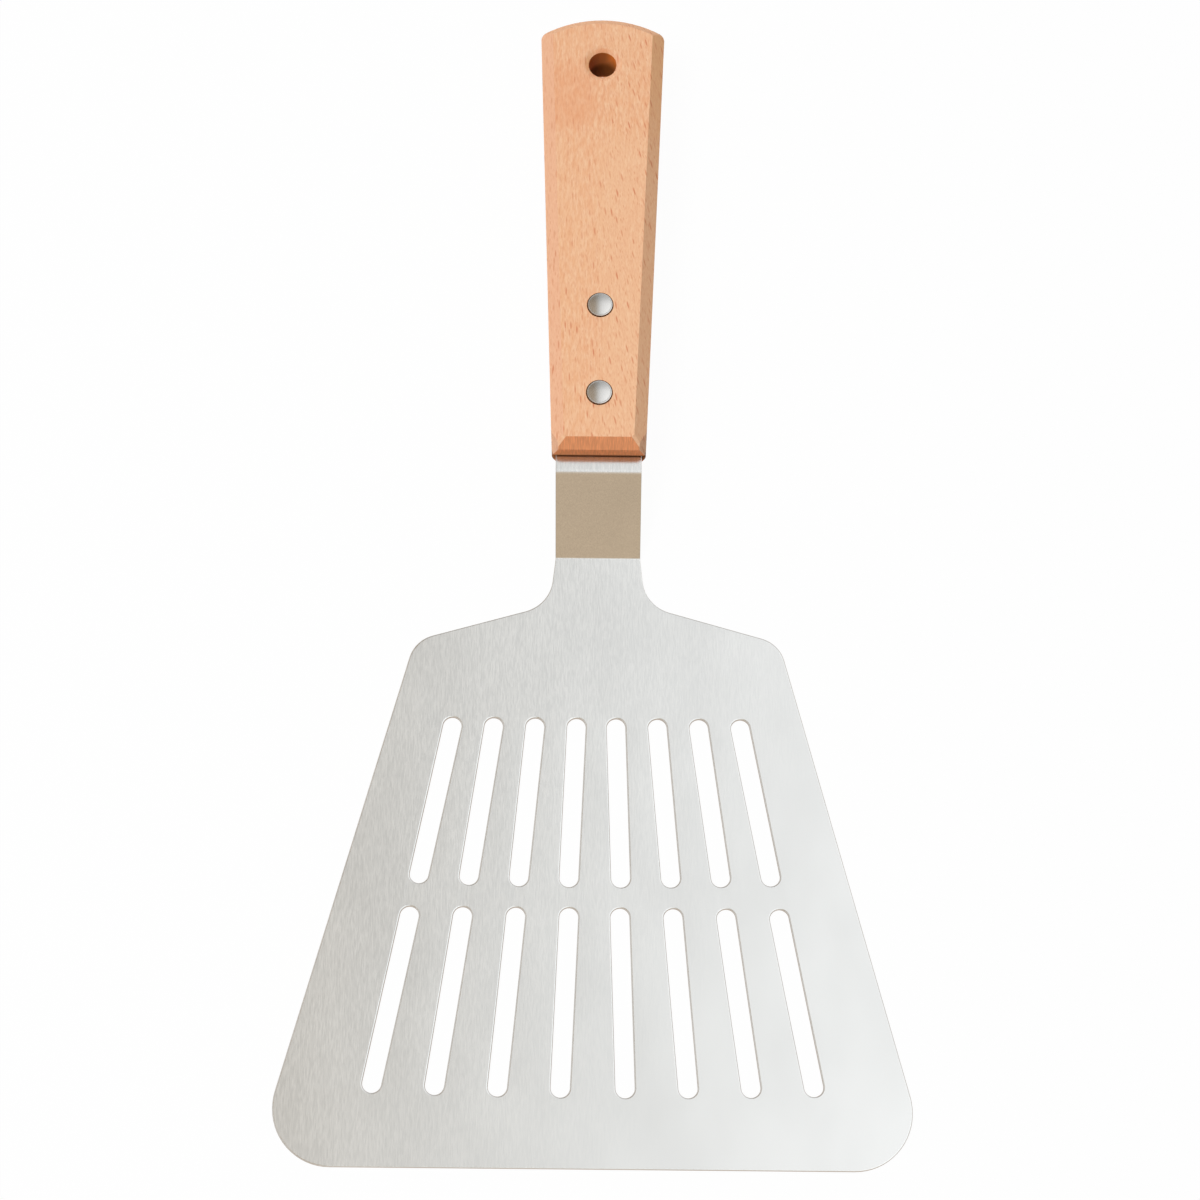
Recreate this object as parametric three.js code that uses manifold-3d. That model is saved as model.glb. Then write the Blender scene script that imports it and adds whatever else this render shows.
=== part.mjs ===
// A kitchen turner: a slotted stainless blade with a cranked neck, riveted into a beech handle.
//
// Millimetres, +Z up. The blade lies flat on z = 0. The handle runs towards +Y and the blade's front
// edge is towards -Y. The origin is under the middle of the turner's length.
//
// The pieces are drawn with y = 0 at the blade's front edge, and the finished group is then moved back
// by half the overall length.

import * as THREE from "three";
import { mergeVertices, toCreasedNormals } from "three/addons/utils/BufferGeometryUtils.js";
import Module from "manifold-3d";

const wasm = await Module();
wasm.setup();

// Sheet
const SHEET_THICKNESS = 1.5;
const BEND_RADIUS = 1.2; // inside of each bend of the neck
const CRANK_ANGLE = THREE.MathUtils.degToRad(45);
const NECK_RISE = 20; // from the blade up to the tang

// Blade outline
const FRONT_WIDTH = 187.2; // between the side lines, at the front edge
const SHOULDER_WIDTH = 106.7; // between the side lines, at the shoulders
const NECK_WIDTH = 25; // at the lower bend; the tang has the same width
const NECK_ROOT_WIDTH = 28.1; // between the neck's side lines, at the foot of the shoulders
const SHOULDER_SLOPE = THREE.MathUtils.degToRad(15.9);
const NECK_LENGTH = 14.7; // from the foot of the shoulders to the lower bend
const FRONT_CORNER_RADIUS = 16.4;
const SHOULDER_CORNER_RADIUS = 9.5;
const NECK_FILLET_RADIUS = 10.9;

// Slots: two rows, fanned out from the handle
const SLOTS_PER_ROW = 8;
const SLOT_WIDTH = 5.4;
const FRONT_MARGIN = 19.4; // from the front edge to the front row
const FRONT_SLOT_LENGTH = 53.3;
const FRONT_SLOT_PITCH = 16.25; // at the middle of the row
const ROW_GAP = 5.9; // web between the rows
const REAR_SLOT_LENGTH = 49.7;
const REAR_SLOT_PITCH = 13.1; // at the middle of the row
const REAR_MARGIN = 23.2; // from the rear row to the shoulders
const INNER_SLOT_ANGLE = THREE.MathUtils.degToRad(2.1);
const SLOT_ANGLE_STEP = THREE.MathUtils.degToRad(2.9);

// Handle
const HANDLE_LENGTH = 140.5;
const HANDLE_FRONT_WIDTH = 27.4;
const HANDLE_REAR_WIDTH = 38;
const HANDLE_THICKNESS = 17.5;
const HANDLE_CHAMFER = 3.6; // along the four long edges
const FRONT_BEVEL = 3; // along the two edges of the front end
const FRONT_CORNER_EASING = 1.5; // upright corners of the front end
const END_ARC_RADIUS = 35;
const END_CORNER_RADIUS = 2.2;
const END_BEVEL = 2.8; // along the two edges of the end arc
const HANGING_HOLE_DIAMETER = 8.4;
const HANGING_HOLE_DISTANCE = 16.2; // from the rear end
const COUNTERSINK_DIAMETER = 12.4;
const COUNTERSINK_DEPTH = 0.8;

// Tang and kerf
const BARE_TANG = 4.5; // from the upper bend to the handle
const TANG_MARGIN = 12; // tang beyond the rear rivet
const TANG_CORNER_RADIUS = 3;
const KERF_CLEARANCE = 0.1; // above and below the tang
const KERF_RUNOUT = 2; // beyond the end of the tang

// Rivets: a solid half from above, pressed into a tube half from below
const FRONT_RIVET_DISTANCE = 16.7; // from the front end of the handle
const RIVET_PITCH = 27.7;
const RIVET_HEAD_DIAMETER = 7.5;
const RIVET_CROWN = 0.95; // height of the head's middle above the wood
const RIVET_RIM = 0.3; // height of the head's edge above the wood
const RIVET_SEAT_DEPTH = 0.6; // counterbore under each head
const RIVET_SEAT_GAP = 0.05;
const RIVET_TUBE_DIAMETER = 4.4;
const RIVET_SHANK_DIAMETER = 3;
const RIVET_SHANK_TIP = 0.4; // chamfer on the end of the shank
const RIVET_FIT = 0.05; // between the shank and the bore of the tube
const RIVET_END_GAP = 0.6; // between a rivet's end and the other half
const RIVET_HOLE_CLEARANCE = 0.1; // round the tube and the heads

// Mesh fineness
const ARC_SEGMENTS = 6;
const ROUND_SEGMENTS = 32;
const CROWN_SEGMENTS = 5;
const BEND_SEGMENTS = 6;
const END_SEGMENTS = 72; // round the whole circle of the end arc
const CREASE_ANGLE = THREE.MathUtils.degToRad(20); // steeper edges are shaded crisp
const OVERSHOOT = 5; // how far a cutter reaches beyond what it cuts

// Places along the turner, from the blade's front edge
const FRONT_ROW_TOP = FRONT_MARGIN + FRONT_SLOT_LENGTH;
const REAR_ROW_TOP = FRONT_ROW_TOP + ROW_GAP + REAR_SLOT_LENGTH;
const SHOULDER_Y = REAR_ROW_TOP + REAR_MARGIN;
const NECK_ROOT_Y = SHOULDER_Y + ((SHOULDER_WIDTH - NECK_ROOT_WIDTH) / 2) * Math.tan(SHOULDER_SLOPE);
const LOWER_BEND_Y = NECK_ROOT_Y + NECK_LENGTH;
const UPPER_BEND_Y = LOWER_BEND_Y + NECK_RISE / Math.tan(CRANK_ANGLE);
const HANDLE_FRONT_Y = UPPER_BEND_Y + BARE_TANG;
const HANDLE_REAR_Y = HANDLE_FRONT_Y + HANDLE_LENGTH;
const FRONT_RIVET_Y = HANDLE_FRONT_Y + FRONT_RIVET_DISTANCE;
const REAR_RIVET_Y = FRONT_RIVET_Y + RIVET_PITCH;
const TANG_END_Y = REAR_RIVET_Y + TANG_MARGIN;
const END_ARC_Y = HANDLE_REAR_Y - END_ARC_RADIUS; // centre of the end arc
const HANGING_HOLE_Y = HANDLE_REAR_Y - HANGING_HOLE_DISTANCE;
const HANDLE_MIDDLE_Z = NECK_RISE + SHEET_THICKNESS / 2;

// Turns a closed geometry into a solid that can be joined and cut.
function toSolid(geometry) {
  const bare = geometry.clone();
  bare.deleteAttribute("normal");
  bare.deleteAttribute("uv");
  const merged = mergeVertices(bare, 1e-5);
  const corners = merged.index.array;
  const kept = [];
  for (let i = 0; i < corners.length; i += 3) {
    const [a, b, c] = corners.slice(i, i + 3);
    if (a !== b && b !== c && c !== a) {
      kept.push(a, b, c);
    }
  }
  const vertProperties = new Float32Array(merged.attributes.position.array);
  const triVerts = new Uint32Array(kept);
  return new wasm.Manifold(new wasm.Mesh({ numProp: 3, vertProperties, triVerts }));
}

// Makes a named mesh of a finished solid.
function toMesh(name, solid, material) {
  const mesh = solid.getMesh();
  const geometry = new THREE.BufferGeometry();
  geometry.setAttribute("position", new THREE.BufferAttribute(mesh.vertProperties, 3));
  geometry.setIndex(new THREE.BufferAttribute(mesh.triVerts, 1));
  const named = new THREE.Mesh(toCreasedNormals(geometry, CREASE_ANGLE), material);
  named.name = name;
  return named;
}

// Extrudes a shape drawn in X and Y upwards, from one height to another.
function uprightPrism(shape, low, high) {
  const options = { depth: high - low, bevelEnabled: false, curveSegments: ARC_SEGMENTS };
  const geometry = new THREE.ExtrudeGeometry(shape, options);
  return geometry.translate(0, 0, low);
}

// Extrudes a shape drawn in Y and Z sideways, by the same amount to each side of the middle.
function crossPrism(shape, width) {
  const options = { depth: width, bevelEnabled: false, curveSegments: ARC_SEGMENTS };
  const geometry = new THREE.ExtrudeGeometry(shape, options);
  geometry.translate(0, 0, -width / 2);
  // Shape x becomes Y, shape y becomes Z and the extrusion becomes X.
  geometry.rotateX(Math.PI / 2);
  geometry.rotateZ(Math.PI / 2);
  return geometry;
}

// Turns a profile of (radius, height) points, lowest first, about an upright axis.
function turned(points, segments = ROUND_SEGMENTS) {
  return new THREE.LatheGeometry(points, segments).rotateX(Math.PI / 2);
}

// Draws a closed outline through corners that each have a rounding radius, anticlockwise.
function roundedOutline(corners) {
  const shape = new THREE.Shape();
  corners.forEach(({ point, radius }, i) => {
    const before = corners.at(i - 1).point;
    const after = corners[(i + 1) % corners.length].point;
    const into = point.clone().sub(before).normalize();
    const out = after.clone().sub(point).normalize();
    const turn = Math.atan2(into.cross(out), into.dot(out));
    const reach = radius * Math.tan(Math.abs(turn) / 2);
    const start = point.clone().addScaledVector(into, -reach);
    const side = Math.sign(turn);
    const centre = start.clone().add(new THREE.Vector2(-into.y, into.x).multiplyScalar(side * radius));
    const first = start.clone().sub(centre).angle();
    if (i === 0) {
      shape.moveTo(start.x, start.y);
    } else {
      shape.lineTo(start.x, start.y);
    }
    if (radius > 0) {
      shape.absarc(centre.x, centre.y, radius, first, first + turn, turn < 0);
    }
  });
  shape.closePath();
  return shape;
}

// Adds the same corners on the other side of the turner's middle, so that the outline closes.
function mirrored(rightSide) {
  const leftSide = rightSide.map(({ point, radius }) => ({
    point: new THREE.Vector2(-point.x, point.y),
    radius,
  }));
  return [...rightSide, ...leftSide.reverse()];
}

function corner(x, y, radius) {
  return { point: new THREE.Vector2(x, y), radius };
}

// One slot with round ends. It starts at top and runs forwards, leaning outwards by the angle.
function slotHole(top, angle, length) {
  const radius = SLOT_WIDTH / 2;
  const bottom = top.clone().add(
    new THREE.Vector2(Math.sin(angle), -Math.cos(angle)).multiplyScalar(length - SLOT_WIDTH),
  );
  const hole = new THREE.Path();
  hole.absarc(top.x, top.y, radius, angle, angle + Math.PI, false);
  hole.absarc(bottom.x, bottom.y, radius, angle + Math.PI, angle + 2 * Math.PI, false);
  hole.closePath();
  return hole;
}

// One row of slots. The pitch is even at the middle of the row, and the lean grows outwards.
function slotRow(rowTop, length, pitch) {
  const holes = [];
  const halfReach = (length - SLOT_WIDTH) / 2;
  for (let i = 0; i < SLOTS_PER_ROW; i += 1) {
    const place = i - (SLOTS_PER_ROW - 1) / 2;
    const angle = Math.sign(place) * (INNER_SLOT_ANGLE + SLOT_ANGLE_STEP * (Math.abs(place) - 0.5));
    const x = place * pitch - Math.sin(angle) * halfReach;
    holes.push(slotHole(new THREE.Vector2(x, rowTop - SLOT_WIDTH / 2), angle, length));
  }
  return holes;
}

function roundHole(y, diameter) {
  const hole = new THREE.Path();
  hole.absarc(0, y, diameter / 2, 0, 2 * Math.PI, false);
  return hole;
}

// Blade, neck and tang seen from above, with every hole.
function sheetOutline() {
  const outline = roundedOutline(
    mirrored([
      corner(FRONT_WIDTH / 2, 0, FRONT_CORNER_RADIUS),
      corner(SHOULDER_WIDTH / 2, SHOULDER_Y, SHOULDER_CORNER_RADIUS),
      corner(NECK_ROOT_WIDTH / 2, NECK_ROOT_Y, NECK_FILLET_RADIUS),
      corner(NECK_WIDTH / 2, LOWER_BEND_Y, 0),
      corner(NECK_WIDTH / 2, TANG_END_Y, TANG_CORNER_RADIUS),
    ]),
  );
  const rivetHole = RIVET_TUBE_DIAMETER + 2 * RIVET_HOLE_CLEARANCE;
  outline.holes.push(
    ...slotRow(FRONT_ROW_TOP, FRONT_SLOT_LENGTH, FRONT_SLOT_PITCH),
    ...slotRow(REAR_ROW_TOP, REAR_SLOT_LENGTH, REAR_SLOT_PITCH),
    roundHole(FRONT_RIVET_Y, rivetHole),
    roundHole(REAR_RIVET_Y, rivetHole),
  );
  return outline;
}

// The bent sheet seen from the side, drawn in Y and Z as a line of even thickness with two round bends.
function sheetProfile() {
  const bendRadius = BEND_RADIUS + SHEET_THICKNESS / 2;
  const reach = bendRadius * Math.tan(CRANK_ANGLE / 2);
  const half = SHEET_THICKNESS / 2;
  const upper = [];
  const lower = [];
  const addStation = (y, z, slope) => {
    const offset = new THREE.Vector2(-Math.sin(slope), Math.cos(slope)).multiplyScalar(half);
    upper.push(new THREE.Vector2(y + offset.x, z + offset.y));
    lower.push(new THREE.Vector2(y - offset.x, z - offset.y));
  };
  addStation(-OVERSHOOT, half, 0);
  for (let i = 0; i <= BEND_SEGMENTS; i += 1) {
    const slope = (CRANK_ANGLE * i) / BEND_SEGMENTS;
    const y = LOWER_BEND_Y - reach + bendRadius * Math.sin(slope);
    const z = half + bendRadius * (1 - Math.cos(slope));
    addStation(y, z, slope);
  }
  for (let i = BEND_SEGMENTS; i >= 0; i -= 1) {
    const slope = (CRANK_ANGLE * i) / BEND_SEGMENTS;
    const y = UPPER_BEND_Y + reach - bendRadius * Math.sin(slope);
    const z = HANDLE_MIDDLE_Z - bendRadius * (1 - Math.cos(slope));
    addStation(y, z, slope);
  }
  addStation(TANG_END_Y + OVERSHOOT, HANDLE_MIDDLE_Z, 0);
  return new THREE.Shape([...lower, ...upper.reverse()]);
}

// The sheet is the part that the outline from above and the profile from the side have in common.
function makeBlade(material) {
  const plan = toSolid(uprightPrism(sheetOutline(), -OVERSHOOT, HANDLE_MIDDLE_Z + OVERSHOOT));
  const side = toSolid(crossPrism(sheetProfile(), FRONT_WIDTH + OVERSHOOT));
  return toMesh("blade", plan.intersect(side), material);
}

// The handle seen from above: straight tapered sides, an arc at the rear and small round corners.
function handleOutline() {
  const taper = (HANDLE_REAR_WIDTH - HANDLE_FRONT_WIDTH) / 2 / HANDLE_LENGTH;
  const lean = Math.atan(taper);
  // A corner arc touches the side from inside and the end arc from inside.
  const insideReach = END_ARC_RADIUS - END_CORNER_RADIUS;
  const sideAtArcCentre = HANDLE_FRONT_WIDTH / 2 + taper * (END_ARC_Y - HANDLE_FRONT_Y);
  const sideDistance = sideAtArcCentre * Math.cos(lean) - END_CORNER_RADIUS;
  const direction = Math.acos(sideDistance / insideReach) - lean;
  const cornerX = insideReach * Math.cos(direction);
  const cornerY = END_ARC_Y + insideReach * Math.sin(direction);
  const easing = FRONT_CORNER_EASING;
  const half = HANDLE_FRONT_WIDTH / 2;

  const shape = new THREE.Shape();
  shape.moveTo(-half + easing, HANDLE_FRONT_Y);
  shape.lineTo(half - easing, HANDLE_FRONT_Y);
  shape.absarc(half - easing, HANDLE_FRONT_Y + easing, easing, -Math.PI / 2, -lean, false);
  shape.absarc(cornerX, cornerY, END_CORNER_RADIUS, -lean, direction, false);
  shape.absarc(0, END_ARC_Y, END_ARC_RADIUS, direction, Math.PI - direction, false);
  shape.absarc(-cornerX, cornerY, END_CORNER_RADIUS, Math.PI - direction, Math.PI + lean, false);
  shape.absarc(-half + easing, HANDLE_FRONT_Y + easing, easing, Math.PI + lean, 1.5 * Math.PI, false);
  shape.closePath();
  return shape;
}

// A wedge that takes a 45 degree chamfer off an edge. Its length runs along Y, and the edge lies on the
// axis with the material towards -X and -Z.
function chamferWedge(size, length) {
  const reach = size + OVERSHOOT;
  const shape = new THREE.Shape();
  shape.moveTo(-reach, OVERSHOOT);
  shape.lineTo(OVERSHOOT, -reach);
  shape.lineTo(OVERSHOOT, OVERSHOOT);
  shape.closePath();
  const geometry = new THREE.ExtrudeGeometry(shape, { depth: length, bevelEnabled: false });
  geometry.translate(0, 0, -length / 2);
  // The shape's y becomes Z, so the extrusion runs along -Y.
  return geometry.rotateX(Math.PI / 2);
}

// The wedges for the four long edges and for the two edges of the front end.
function handleEdgeWedges() {
  const wedges = [];
  const middleY = (HANDLE_FRONT_Y + HANDLE_REAR_Y) / 2;
  const middleHalf = (HANDLE_FRONT_WIDTH + HANDLE_REAR_WIDTH) / 4;
  const lean = Math.atan2((HANDLE_REAR_WIDTH - HANDLE_FRONT_WIDTH) / 2, HANDLE_LENGTH);
  for (const above of [1, -1]) {
    const z = HANDLE_MIDDLE_Z + (above * HANDLE_THICKNESS) / 2;
    for (const side of [1, -1]) {
      const wedge = chamferWedge(HANDLE_CHAMFER, HANDLE_LENGTH + 4 * OVERSHOOT);
      // Half a turn about Y brings the wedge to the opposite edge, a quarter to the next one.
      wedge.rotateY(((1 - above) * Math.PI) / 4 + ((1 - side) * -above * Math.PI) / 4);
      wedge.rotateZ(-side * lean);
      wedges.push(wedge.translate(side * middleHalf, middleY, z));
    }
    const frontWedge = chamferWedge(FRONT_BEVEL, HANDLE_REAR_WIDTH + OVERSHOOT);
    frontWedge.rotateY(((1 - above) * Math.PI) / 4);
    frontWedge.rotateZ(-Math.PI / 2);
    wedges.push(frontWedge.translate(0, HANDLE_FRONT_Y, z));
  }
  return wedges;
}

// Cutter for the bevel along one edge of the end arc, the upper one or the lower one.
function endBevelCutter(above) {
  const faceZ = HANDLE_THICKNESS / 2;
  const outer = END_ARC_RADIUS + OVERSHOOT;
  const profile = [
    new THREE.Vector2(outer, faceZ - END_BEVEL - OVERSHOOT),
    new THREE.Vector2(outer, faceZ + OVERSHOOT),
    new THREE.Vector2(END_ARC_RADIUS - END_BEVEL - OVERSHOOT, faceZ + OVERSHOOT),
    new THREE.Vector2(outer, faceZ - END_BEVEL - OVERSHOOT),
  ];
  const ring = turned(profile, END_SEGMENTS);
  // Half a turn about Y brings the ring from the upper face to the lower one.
  ring.rotateY(above ? 0 : Math.PI);
  ring.translate(0, END_ARC_Y, HANDLE_MIDDLE_Z);
  // Only the half of the ring behind the arc's centre is wanted.
  return toSolid(ring).trimByPlane([0, 1, 0], END_ARC_Y);
}

// Cutter for the hanging hole, flared at both faces of the handle.
function hangingHoleCutter() {
  const half = HANDLE_THICKNESS / 2;
  const inner = HANGING_HOLE_DIAMETER / 2;
  const outer = COUNTERSINK_DIAMETER / 2;
  const flare = ((outer - inner) / COUNTERSINK_DEPTH) * OVERSHOOT;
  const profile = [
    new THREE.Vector2(0, -half - OVERSHOOT),
    new THREE.Vector2(outer + flare, -half - OVERSHOOT),
    new THREE.Vector2(inner, -half + COUNTERSINK_DEPTH),
    new THREE.Vector2(inner, half - COUNTERSINK_DEPTH),
    new THREE.Vector2(outer + flare, half + OVERSHOOT),
    new THREE.Vector2(0, half + OVERSHOOT),
  ];
  return turned(profile).translate(0, HANGING_HOLE_Y, HANDLE_MIDDLE_Z);
}

// Cutter for a rivet: a hole for the tube, with a counterbore for each head.
function rivetHoleCutter(y) {
  const half = HANDLE_THICKNESS / 2;
  const hole = RIVET_TUBE_DIAMETER / 2 + RIVET_HOLE_CLEARANCE;
  const seat = RIVET_HEAD_DIAMETER / 2 + RIVET_HOLE_CLEARANCE;
  const profile = [
    new THREE.Vector2(0, -half - OVERSHOOT),
    new THREE.Vector2(seat, -half - OVERSHOOT),
    new THREE.Vector2(seat, -half + RIVET_SEAT_DEPTH),
    new THREE.Vector2(hole, -half + RIVET_SEAT_DEPTH),
    new THREE.Vector2(hole, half - RIVET_SEAT_DEPTH),
    new THREE.Vector2(seat, half - RIVET_SEAT_DEPTH),
    new THREE.Vector2(seat, half + OVERSHOOT),
    new THREE.Vector2(0, half + OVERSHOOT),
  ];
  return turned(profile).translate(0, y, HANDLE_MIDDLE_Z);
}

// Cutter for the saw kerf that takes the tang. It runs out through both sides of the handle.
function kerfCutter() {
  const depth = TANG_END_Y + KERF_RUNOUT - HANDLE_FRONT_Y + OVERSHOOT;
  const width = HANDLE_REAR_WIDTH + OVERSHOOT;
  const height = SHEET_THICKNESS + 2 * KERF_CLEARANCE;
  const box = new THREE.BoxGeometry(width, depth, height);
  return box.translate(0, HANDLE_FRONT_Y - OVERSHOOT + depth / 2, HANDLE_MIDDLE_Z);
}

function makeHandle(material) {
  const low = HANDLE_MIDDLE_Z - HANDLE_THICKNESS / 2;
  const cutters = [
    ...handleEdgeWedges(),
    kerfCutter(),
    hangingHoleCutter(),
    rivetHoleCutter(FRONT_RIVET_Y),
    rivetHoleCutter(REAR_RIVET_Y),
  ].map(toSolid);
  cutters.push(endBevelCutter(true), endBevelCutter(false));
  let solid = toSolid(uprightPrism(handleOutline(), low, low + HANDLE_THICKNESS));
  for (const cutter of cutters) {
    solid = solid.subtract(cutter);
  }
  return toMesh("handle", solid, material);
}

// The domed face of a rivet head as (radius, height) points, from its edge to its middle.
function crownPoints(faceZ) {
  const radius = RIVET_HEAD_DIAMETER / 2;
  const rise = RIVET_CROWN - RIVET_RIM;
  const sphere = (radius ** 2 + rise ** 2) / (2 * rise);
  const spread = Math.asin(radius / sphere);
  const centreZ = faceZ + RIVET_CROWN - sphere;
  const points = [];
  for (let i = 0; i <= CROWN_SEGMENTS; i += 1) {
    const angle = spread * (1 - i / CROWN_SEGMENTS);
    points.push(new THREE.Vector2(sphere * Math.sin(angle), centreZ + sphere * Math.cos(angle)));
  }
  return points;
}

// Heights in the two functions below are from the middle of the handle, with the head at the top.
const RIVET_FACE_Z = HANDLE_THICKNESS / 2;
const RIVET_SEAT_Z = RIVET_FACE_Z - RIVET_SEAT_DEPTH + RIVET_SEAT_GAP;

function solidHalf() {
  const shank = RIVET_SHANK_DIAMETER / 2;
  const end = -RIVET_SEAT_Z + RIVET_END_GAP;
  return turned([
    new THREE.Vector2(0, end),
    new THREE.Vector2(shank - RIVET_SHANK_TIP, end),
    new THREE.Vector2(shank, end + RIVET_SHANK_TIP),
    new THREE.Vector2(shank, RIVET_SEAT_Z),
    new THREE.Vector2(RIVET_HEAD_DIAMETER / 2, RIVET_SEAT_Z),
    ...crownPoints(RIVET_FACE_Z),
  ]);
}

function tubeHalf() {
  const bore = RIVET_SHANK_DIAMETER / 2 + RIVET_FIT;
  const tube = RIVET_TUBE_DIAMETER / 2;
  const mouth = -RIVET_SEAT_Z + RIVET_END_GAP;
  return turned([
    new THREE.Vector2(0, RIVET_SEAT_Z),
    new THREE.Vector2(bore, RIVET_SEAT_Z),
    new THREE.Vector2(bore, mouth),
    new THREE.Vector2(tube, mouth),
    new THREE.Vector2(tube, RIVET_SEAT_Z),
    new THREE.Vector2(RIVET_HEAD_DIAMETER / 2, RIVET_SEAT_Z),
    ...crownPoints(RIVET_FACE_Z),
  ]);
}

// A rivet through the handle and the tang. The tube half is turned over, so that its head is below.
function makeRivet(name, y, material) {
  const rivet = new THREE.Group();
  const solid = toMesh(`${name}_solid_half`, toSolid(solidHalf()), material);
  const tube = toMesh(`${name}_tube_half`, toSolid(tubeHalf().rotateX(Math.PI)), material.clone());
  rivet.add(solid, tube);
  rivet.position.set(0, y, HANDLE_MIDDLE_Z);
  return rivet;
}

const brushedSteel = new THREE.MeshStandardMaterial({ color: 0xd0d2d0, roughness: 0.36, metalness: 1 });
const beech = new THREE.MeshStandardMaterial({ color: 0xe6b58c, roughness: 0.62, metalness: 0 });
const rivetSteel = new THREE.MeshStandardMaterial({ color: 0xc4c2bc, roughness: 0.3, metalness: 1 });

const turner = new THREE.Group();
turner.name = "kitchen_turner";
turner.add(
  makeBlade(brushedSteel),
  makeHandle(beech),
  makeRivet("front_rivet", FRONT_RIVET_Y, rivetSteel),
  makeRivet("rear_rivet", REAR_RIVET_Y, rivetSteel.clone()),
);
turner.position.y = -HANDLE_REAR_Y / 2;

export default turner;
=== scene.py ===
import math
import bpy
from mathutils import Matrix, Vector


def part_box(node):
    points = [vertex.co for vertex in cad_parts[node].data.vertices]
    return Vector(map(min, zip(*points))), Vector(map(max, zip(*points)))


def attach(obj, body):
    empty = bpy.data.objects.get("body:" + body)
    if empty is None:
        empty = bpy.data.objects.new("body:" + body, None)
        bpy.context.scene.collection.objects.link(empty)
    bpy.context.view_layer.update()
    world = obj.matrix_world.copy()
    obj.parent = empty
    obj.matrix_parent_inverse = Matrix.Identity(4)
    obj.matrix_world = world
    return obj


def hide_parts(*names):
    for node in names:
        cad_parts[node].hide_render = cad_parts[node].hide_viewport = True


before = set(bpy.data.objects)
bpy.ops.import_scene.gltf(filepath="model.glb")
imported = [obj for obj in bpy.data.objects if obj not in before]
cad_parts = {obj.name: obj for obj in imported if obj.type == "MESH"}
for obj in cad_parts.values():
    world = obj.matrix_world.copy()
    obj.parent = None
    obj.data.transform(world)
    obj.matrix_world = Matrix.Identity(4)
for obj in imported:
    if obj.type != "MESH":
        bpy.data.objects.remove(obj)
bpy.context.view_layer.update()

from types import SimpleNamespace

import bmesh
import bpy
from mathutils import Matrix, Vector

bl_info = {
    "name": "Kitchen turner",
    "version": (1, 0, 0),
    "blender": (4, 5, 0),
    "location": "View3D > Sidebar > Turner",
    "description": "Models a slotted steel turner with a riveted beech handle, and a studio stage for it",
    "category": "Add Mesh",
}

MM = 0.001

# The solids that the finished pieces stand for.
BLADE_LOW, BLADE_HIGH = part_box("blade")
HANDLE_LOW, HANDLE_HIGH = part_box("handle")
HANDLE_MIDDLE_Z = (HANDLE_LOW.z + HANDLE_HIGH.z) / 2
HANDLE_LENGTH = HANDLE_HIGH.y - HANDLE_LOW.y
HANDLE_THICKNESS = HANDLE_HIGH.z - HANDLE_LOW.z
RIVET_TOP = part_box("front_rivet_solid_half")[1].z
RIVET_NAMES = ("front_rivet", "rear_rivet")

# How finely round forms are divided.
ARC_STEP = math.radians(6)
END_STEP = math.radians(4)
BEND_STEPS = 8
TURNED_STEPS = 64
CROWN_STEPS = 14
SHEET_ROUNDING_STEPS = 5
WOOD_ROUNDING_STEPS = 3

# Folds sharper than these are rounded over, or stay sharp in the shading.
SHEET_EDGE = math.radians(50)
WOOD_EDGE = math.radians(20)
STEEL_CREASE = math.radians(40)
WOOD_CREASE = math.radians(35)

# Points closer together than this are merged; after the handle's cuts, slivers are merged too.
MERGE_DISTANCE = 1e-6
SLIVER = 4.2e-6
# How far off a point may lie and still count as being in a place.
NEAR = 2e-5
# Size of the face that a drawn chain starts from, and how far a cutter stands out of the wood.
SEED_SIZE = 0.1 * MM
CUT_OVERSHOOT = 2 * MM

BRUSHING_MAP = "brushing"
# Most values of a noise lie between these two.
NOISE_LOW = 0.35
NOISE_HIGH = 0.65
BLACK = (0, 0, 0)
WHITE = (1, 1, 1)

FLOOR_SIZE = 8.0
FLOOR_GAP = 0.2 * MM
SENSOR_WIDTH = 36.0
CLIP_START = 0.01


# Settings


def length(name, description, default):
    """A size that can be changed in the sidebar, in metres."""
    return bpy.props.FloatProperty(
        name=name, description=description, default=default, min=0.0, precision=5, unit="LENGTH"
    )


def angle(name, description, degrees):
    """An angle that can be changed in the sidebar."""
    return bpy.props.FloatProperty(
        name=name, description=description, default=math.radians(degrees), unit="ROTATION"
    )


def number(name, description, default, unit="NONE"):
    """A number that can be changed in the sidebar."""
    return bpy.props.FloatProperty(name=name, description=description, default=default, unit=unit)


def point(name, description, default):
    """A place that can be changed in the sidebar, in metres."""
    return bpy.props.FloatVectorProperty(name=name, description=description, default=default, unit="LENGTH")


def colour(name, description, default):
    """A colour that can be changed in the sidebar, as linear red, green and blue."""
    return bpy.props.FloatVectorProperty(
        name=name, description=description, default=default, min=0.0, max=1.0, size=3, subtype="COLOR"
    )


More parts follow.
